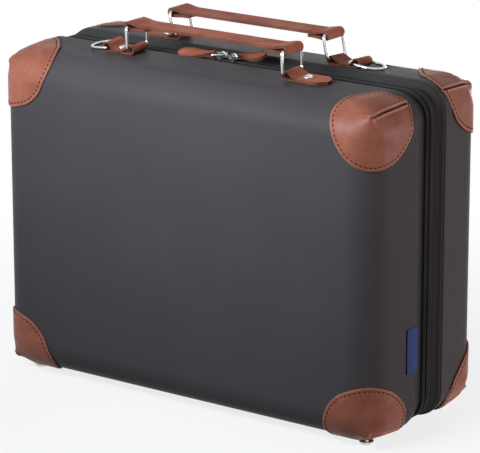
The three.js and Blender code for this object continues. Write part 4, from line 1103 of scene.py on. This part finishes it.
def arch_piece(name, place):
    """The bridge on the slider that holds the link: a bar of rounded section that rises and falls."""
    start = PLATE_HIGH - 0.2
    end_x = ARCH_LENGTH / 2 - 0.7
    crest = PLATE_HIGH + ARCH_CLEAR + 0.6
    half = [(-end_x, start), (-end_x, start + 1.2), (-end_x + 0.5, start + 2.6), (-1.4, crest)]
    p = resampled(half + [(-x, z) for x, z in reversed(half)], 0.4)
    section = []
    for a in turns(12):
        y = ARCH_WIDTH / 2 * math.copysign(abs(math.cos(a)) ** 0.6, math.cos(a))
        section.append((y, 0.55 * math.copysign(abs(math.sin(a)) ** 0.8, math.sin(a))))
    rings = []
    for (x, z), (tx, tz) in zip(p, unit_tangents(p)):
        rings.append([(x - tz * up, y, z + tx * up) for y, up in section])
    points, faces = loft(rings)
    make_piece(f"slider_arch_{name}", points, faces, [CHROME], f"slider_{name}", "chrome", (), place)


def pull_matrix(side):
    """The frame of a link and its pull, as the solids have it."""
    swing = math.radians(PULL_SWING)
    yaw = math.pi + swing if side < 0 else -swing
    pivot = Matrix.Translation((ZIP_MEET + side * SLIDER_X, 0, RIM_TOP + PIVOT_Z))
    droop = Matrix.Rotation(math.radians(PULL_DROOP[side]), 4, "Y")
    return pivot @ Matrix.Rotation(yaw, 4, "Z") @ droop


def pull_width(x):
    """Width of the drop-shaped leather at a place along it."""
    centre = PULL_LENGTH - PULL_END_RADIUS
    if x <= 3.5:
        return PULL_NECK
    if x < centre - 1:
        t = (x - 3.5) / (centre - 4.5)
        ease = t * t * (3 - 2 * t)
        return PULL_NECK + (2 * PULL_END_RADIUS - PULL_NECK) * ease
    over = min(1.0, (x - centre) / PULL_END_RADIUS) if x > centre else 0
    return 2 * PULL_END_RADIUS * math.sqrt(max(0.0, 1 - over * over))


def twisted(points, twist):
    """Points of a pull's leather that droops and turns round its length, more and more from its fold."""
    p = np.array(points, float)
    share = np.clip((p[..., 0] - 1) / 9, 0, 1)
    angle = math.radians(twist) * share * share * (3 - 2 * share)
    y = p[..., 1] * np.cos(angle) - p[..., 2] * np.sin(angle)
    z = p[..., 1] * np.sin(angle) + p[..., 2] * np.cos(angle)
    droop = PULL_SAG * (np.maximum(p[..., 0], 0) / PULL_LENGTH) ** 1.8
    return np.stack([p[..., 0], y, z - droop], -1)


def pull_stitches(top):
    """Stitches along both edges of a pull, on its upper and its lower face."""
    found = []
    for i in range(13):
        x = 8.5 + i * (PULL_LENGTH - 11) / 12
        half = pull_width(x) / 2 - 1.6
        if half < 0.8:
            continue
        slope = (pull_width(x + 0.4) - pull_width(x - 0.4)) / 1.6
        for sign in (-1, 1):
            for up in (1, -1):
                middle, ahead = np.array([x, sign * half, up * top]), np.array([1, sign * slope, 0])
                found.append((middle, ahead, np.array([0, 0, up]), 1.3))
    return found


def pull_pieces(name, side):
    """A slider's wire link, its folded leather with its stitches, and an eyelet."""
    place, body = pull_matrix(side), f"pull_{name}"
    twist = side * PULL_TWIST[side]
    near, far = LINK_NARROW / 2, LINK_WIDE / 2
    link = [(0, -near), (0, near), (LINK_LENGTH, far), (LINK_LENGTH, -far)]
    wire_piece(f"wire_link_{name}", link, LINK_BEND, LINK_WIRE, f"link_{name}", f"pull_link_{name}", place,
               upright=False, sides=12)
    ply = PULL_LEATHER / 2 + PLY_GAP / 2
    half = [(PULL_LENGTH, -ply), (20, -ply), (6, -ply)]
    path = [*half, *arc_points(0, 0, PULL_BORE + PULL_LEATHER / 2, 300, 60, 14)]
    path += [(x, -z) for x, z in reversed(half)]
    ends = place @ Matrix.Translation((LINK_LENGTH, 0, 0))
    points, faces, material = ribbon(resampled(path, 0.5), PULL_LEATHER, pull_width)
    make_piece(f"pull_tab_{name}", twisted(points, twist), faces, STRAP_LEATHERS, body, "leather",
               [f"leather_pull_{name}"], ends, material)
    top = ply + PULL_LEATHER / 2
    points, faces = stitch_mesh(pull_stitches(top), 0.3)
    thread_piece(f"pull_stitches_{name}", (twisted(points, twist), faces), body, ends)
    eyelet = [(0.01, -0.04), (0.9, -0.05), (0.9, 0.16), (1.15, 0.2), (1.4, 0.12), (1.45, -0.05)]
    seat = ends @ Matrix.Rotation(math.radians(twist * 0.5), 4, "X")
    seat = seat @ Matrix.Translation((5.6, 0, top - 0.1))
    lathe_piece(f"pull_eyelet_{name}", eyelet, THREAD, body, "leather", (), seat, sides=20)


# Side tag

def tag_piece():
    """The plain cloth tag at the end of the front shell."""
    depth = SHELL_DEPTH - TAG_WIDTH / 2 + TAG_OVERHANG
    centre = Vector((FACE_WIDTH / 2 + SLOPE * depth + GAP, depth - FACE_Y, FACE_LIFT + TAG_MIDDLE))
    place = Matrix.Translation(centre) @ Matrix.Rotation(-SLOPE_ANGLE, 4, "Z")
    w, h, r = TAG_WIDTH / 2, TAG_HEIGHT / 2, 1.2
    outline = [(w, -h), (w, h), *arc_points(-w + r, h - r, r, 90, 180, 5)]
    outline += arc_points(-w + r, -h + r, r, 180, 270, 5)
    # The edge, then a furrow for the seam round the tag: (inset, height)
    profile = ((0, 0), (0, 0.5), (0.15, 0.72), (0.5, 0.8), (1.3, 0.8), (1.5, 0.62), (1.8, 0.62), (2, 0.78))
    rings = []
    for inset, level in profile:
        rings.append([(level, y * (1 - inset / w), z * (1 - inset / h)) for y, z in outline])
    points, faces = loft(rings)
    make_piece("tag_cloth", points, faces, [TAG], "front_half", "tag", ["side_tag"], place)


# The whole case

def shell_pieces():
    """Both mouldings and their linings."""
    outside, depth = WALL + GAP, SHELL_DEPTH - TAPE_INSIDE - 2
    for label, turn, _ in HALVES:
        body, place = f"{label}_half", HALF_TURN[turn]
        tray_piece(f"moulding_{label}", 0, WALL, SHELL_DEPTH, FACETS, SHELL, body, "shell",
                   f"{label}_shell", place)
        tray_piece(f"lining_cloth_{label}", outside, outside + LINING_THICK, depth, FACETS // 2,
                   LINING, body, "lining", f"{label}_lining", place)


def dress_hidden_nodes():
    """The washers among the CAD nodes that stay as they are take the stud finish."""
    for name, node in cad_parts.items():
        if "washer" in name:
            node.data.materials.clear()
            node.data.materials.append(STUD)


shell_pieces()
cap_pieces()
zip_pieces()
hinge_pieces()
tab_pieces()
strap_pieces()
ring_pieces()
stud_pieces()
slider_pieces()
tag_piece()
dress_hidden_nodes()


# Camera, light and floor

WORLD_LIGHT = 0.085  # of the white surroundings, as a light
CAMERA_AZIMUTH, CAMERA_ELEVATION, CAMERA_ROLL = 35.626, 16.138, -0.037  # degrees
CAMERA_DISTANCE = 2586.6  # mm, to the target
CAMERA_FOCAL = 230  # mm on a sensor 36 mm wide
CAMERA_TARGET = (3.64, 0, 142.95)
FLOOR_REACH = 6  # metres, from the middle to each side
FLOOR_LIT, FLOOR_SEEN = 0.08, 0.9  # how pale it is as a source of light on the case, and as it is seen


def make_camera():
    """The camera at the photograph's place and angle."""
    azimuth, elevation = math.radians(CAMERA_AZIMUTH), math.radians(CAMERA_ELEVATION)
    back = Vector((math.sin(azimuth) * math.cos(elevation), -math.cos(azimuth) * math.cos(elevation),
                   math.sin(elevation)))
    target = Vector(CAMERA_TARGET)
    right = Vector((math.cos(azimuth), math.sin(azimuth), 0))
    up = back.cross(right)
    roll = math.radians(CAMERA_ROLL)
    turned_right = right * math.cos(roll) + up * math.sin(roll)
    turned_up = up * math.cos(roll) - right * math.sin(roll)
    data = bpy.data.cameras.new("camera")
    data.sensor_fit = "HORIZONTAL"
    data.sensor_width = 36
    data.lens = CAMERA_FOCAL
    data.clip_end = 100
    camera = bpy.data.objects.new("camera", data)
    axes = Matrix((turned_right, turned_up, back)).transposed()
    camera.matrix_world = Matrix.Translation((target + back * CAMERA_DISTANCE) * MM) @ axes.to_4x4()
    bpy.context.scene.collection.objects.link(camera)
    bpy.context.scene.camera = camera


def area_light(name, place, target, size, power, colour, spread=180):
    """A soft lamp that the camera doesn't see, from a place towards a target in metres."""
    data = bpy.data.lights.new(name, "AREA")
    data.shape = "RECTANGLE"
    data.size, data.size_y = size
    data.energy = power
    data.color = colour
    data.spread = math.radians(spread)
    light = bpy.data.objects.new(name, data)
    light.location = place
    light.rotation_euler = (Vector(target) - Vector(place)).to_track_quat("-Z", "Y").to_euler()
    light.visible_camera = False
    bpy.context.scene.collection.objects.link(light)


def make_world():
    """Soft pale surroundings: white where they are seen, gentle as a light."""
    look = Look("studio", bpy.data.worlds)
    bpy.context.scene.world = look.owner
    shown = look.nodes["Background"].inputs
    look.feed(shown["Color"], (1, 1, 1, 1))
    look.feed(shown["Strength"], look.mapped(look.seen_directly(), 0, 1, WORLD_LIGHT, 1))


def make_floor():
    """A white floor that keeps the case's soft shadow near it and is plain white far away."""
    mesh = bpy.data.meshes.new("floor")
    corners = [(x * FLOOR_REACH, y * FLOOR_REACH, 0) for x, y in ((-1, -1), (1, -1), (1, 1), (-1, 1))]
    mesh.from_pydata(corners, [], [(0, 1, 2, 3)])
    floor = bpy.data.objects.new("floor", mesh)
    floor.location.z = -0.0002  # just under the feet
    bpy.context.scene.collection.objects.link(floor)
    look = Look("floor_white")
    seen = look.seen_directly()
    look.dress({
        "Base Color": look.mapped(seen, 0, 1, FLOOR_LIT, FLOOR_SEEN),
        "Roughness": 0.9,
        "Specular IOR Level": 0.1,
    })
    distance = look.node("ShaderNodeVectorMath", {0: look.space()}, operation="LENGTH").outputs["Value"]
    share = look.mapped(distance, 0.2, 0.6, 0.8, 1)
    mix = look.node("ShaderNodeMixShader", {
        "Fac": look.math("MULTIPLY", share, seen),
        1: look.shader.outputs["BSDF"],
        2: look.node("ShaderNodeEmission").outputs["Emission"],
    })
    look.feed(look.nodes["Material Output"].inputs["Surface"], mix.outputs["Shader"])
    mesh.materials.append(look.owner)


make_camera()
make_world()
make_floor()
area_light("key", (-0.1, -0.62, 0.55), (0.02, -0.05, 0.38), (0.5, 0.26), 3.7, (0.8, 0.93, 1), 105)
area_light("side", (1.35, 0.5, 0.14), (0.15, 0, 0.12), (0.7, 0.25), 11.5, (1, 0.97, 0.95))
area_light("back", (-0.5, 1.25, 0.14), (-0.05, 0, 0.14), (1.0, 0.22), 17, (1, 0.99, 0.98))
bpy.context.scene.view_settings.view_transform = "Standard"
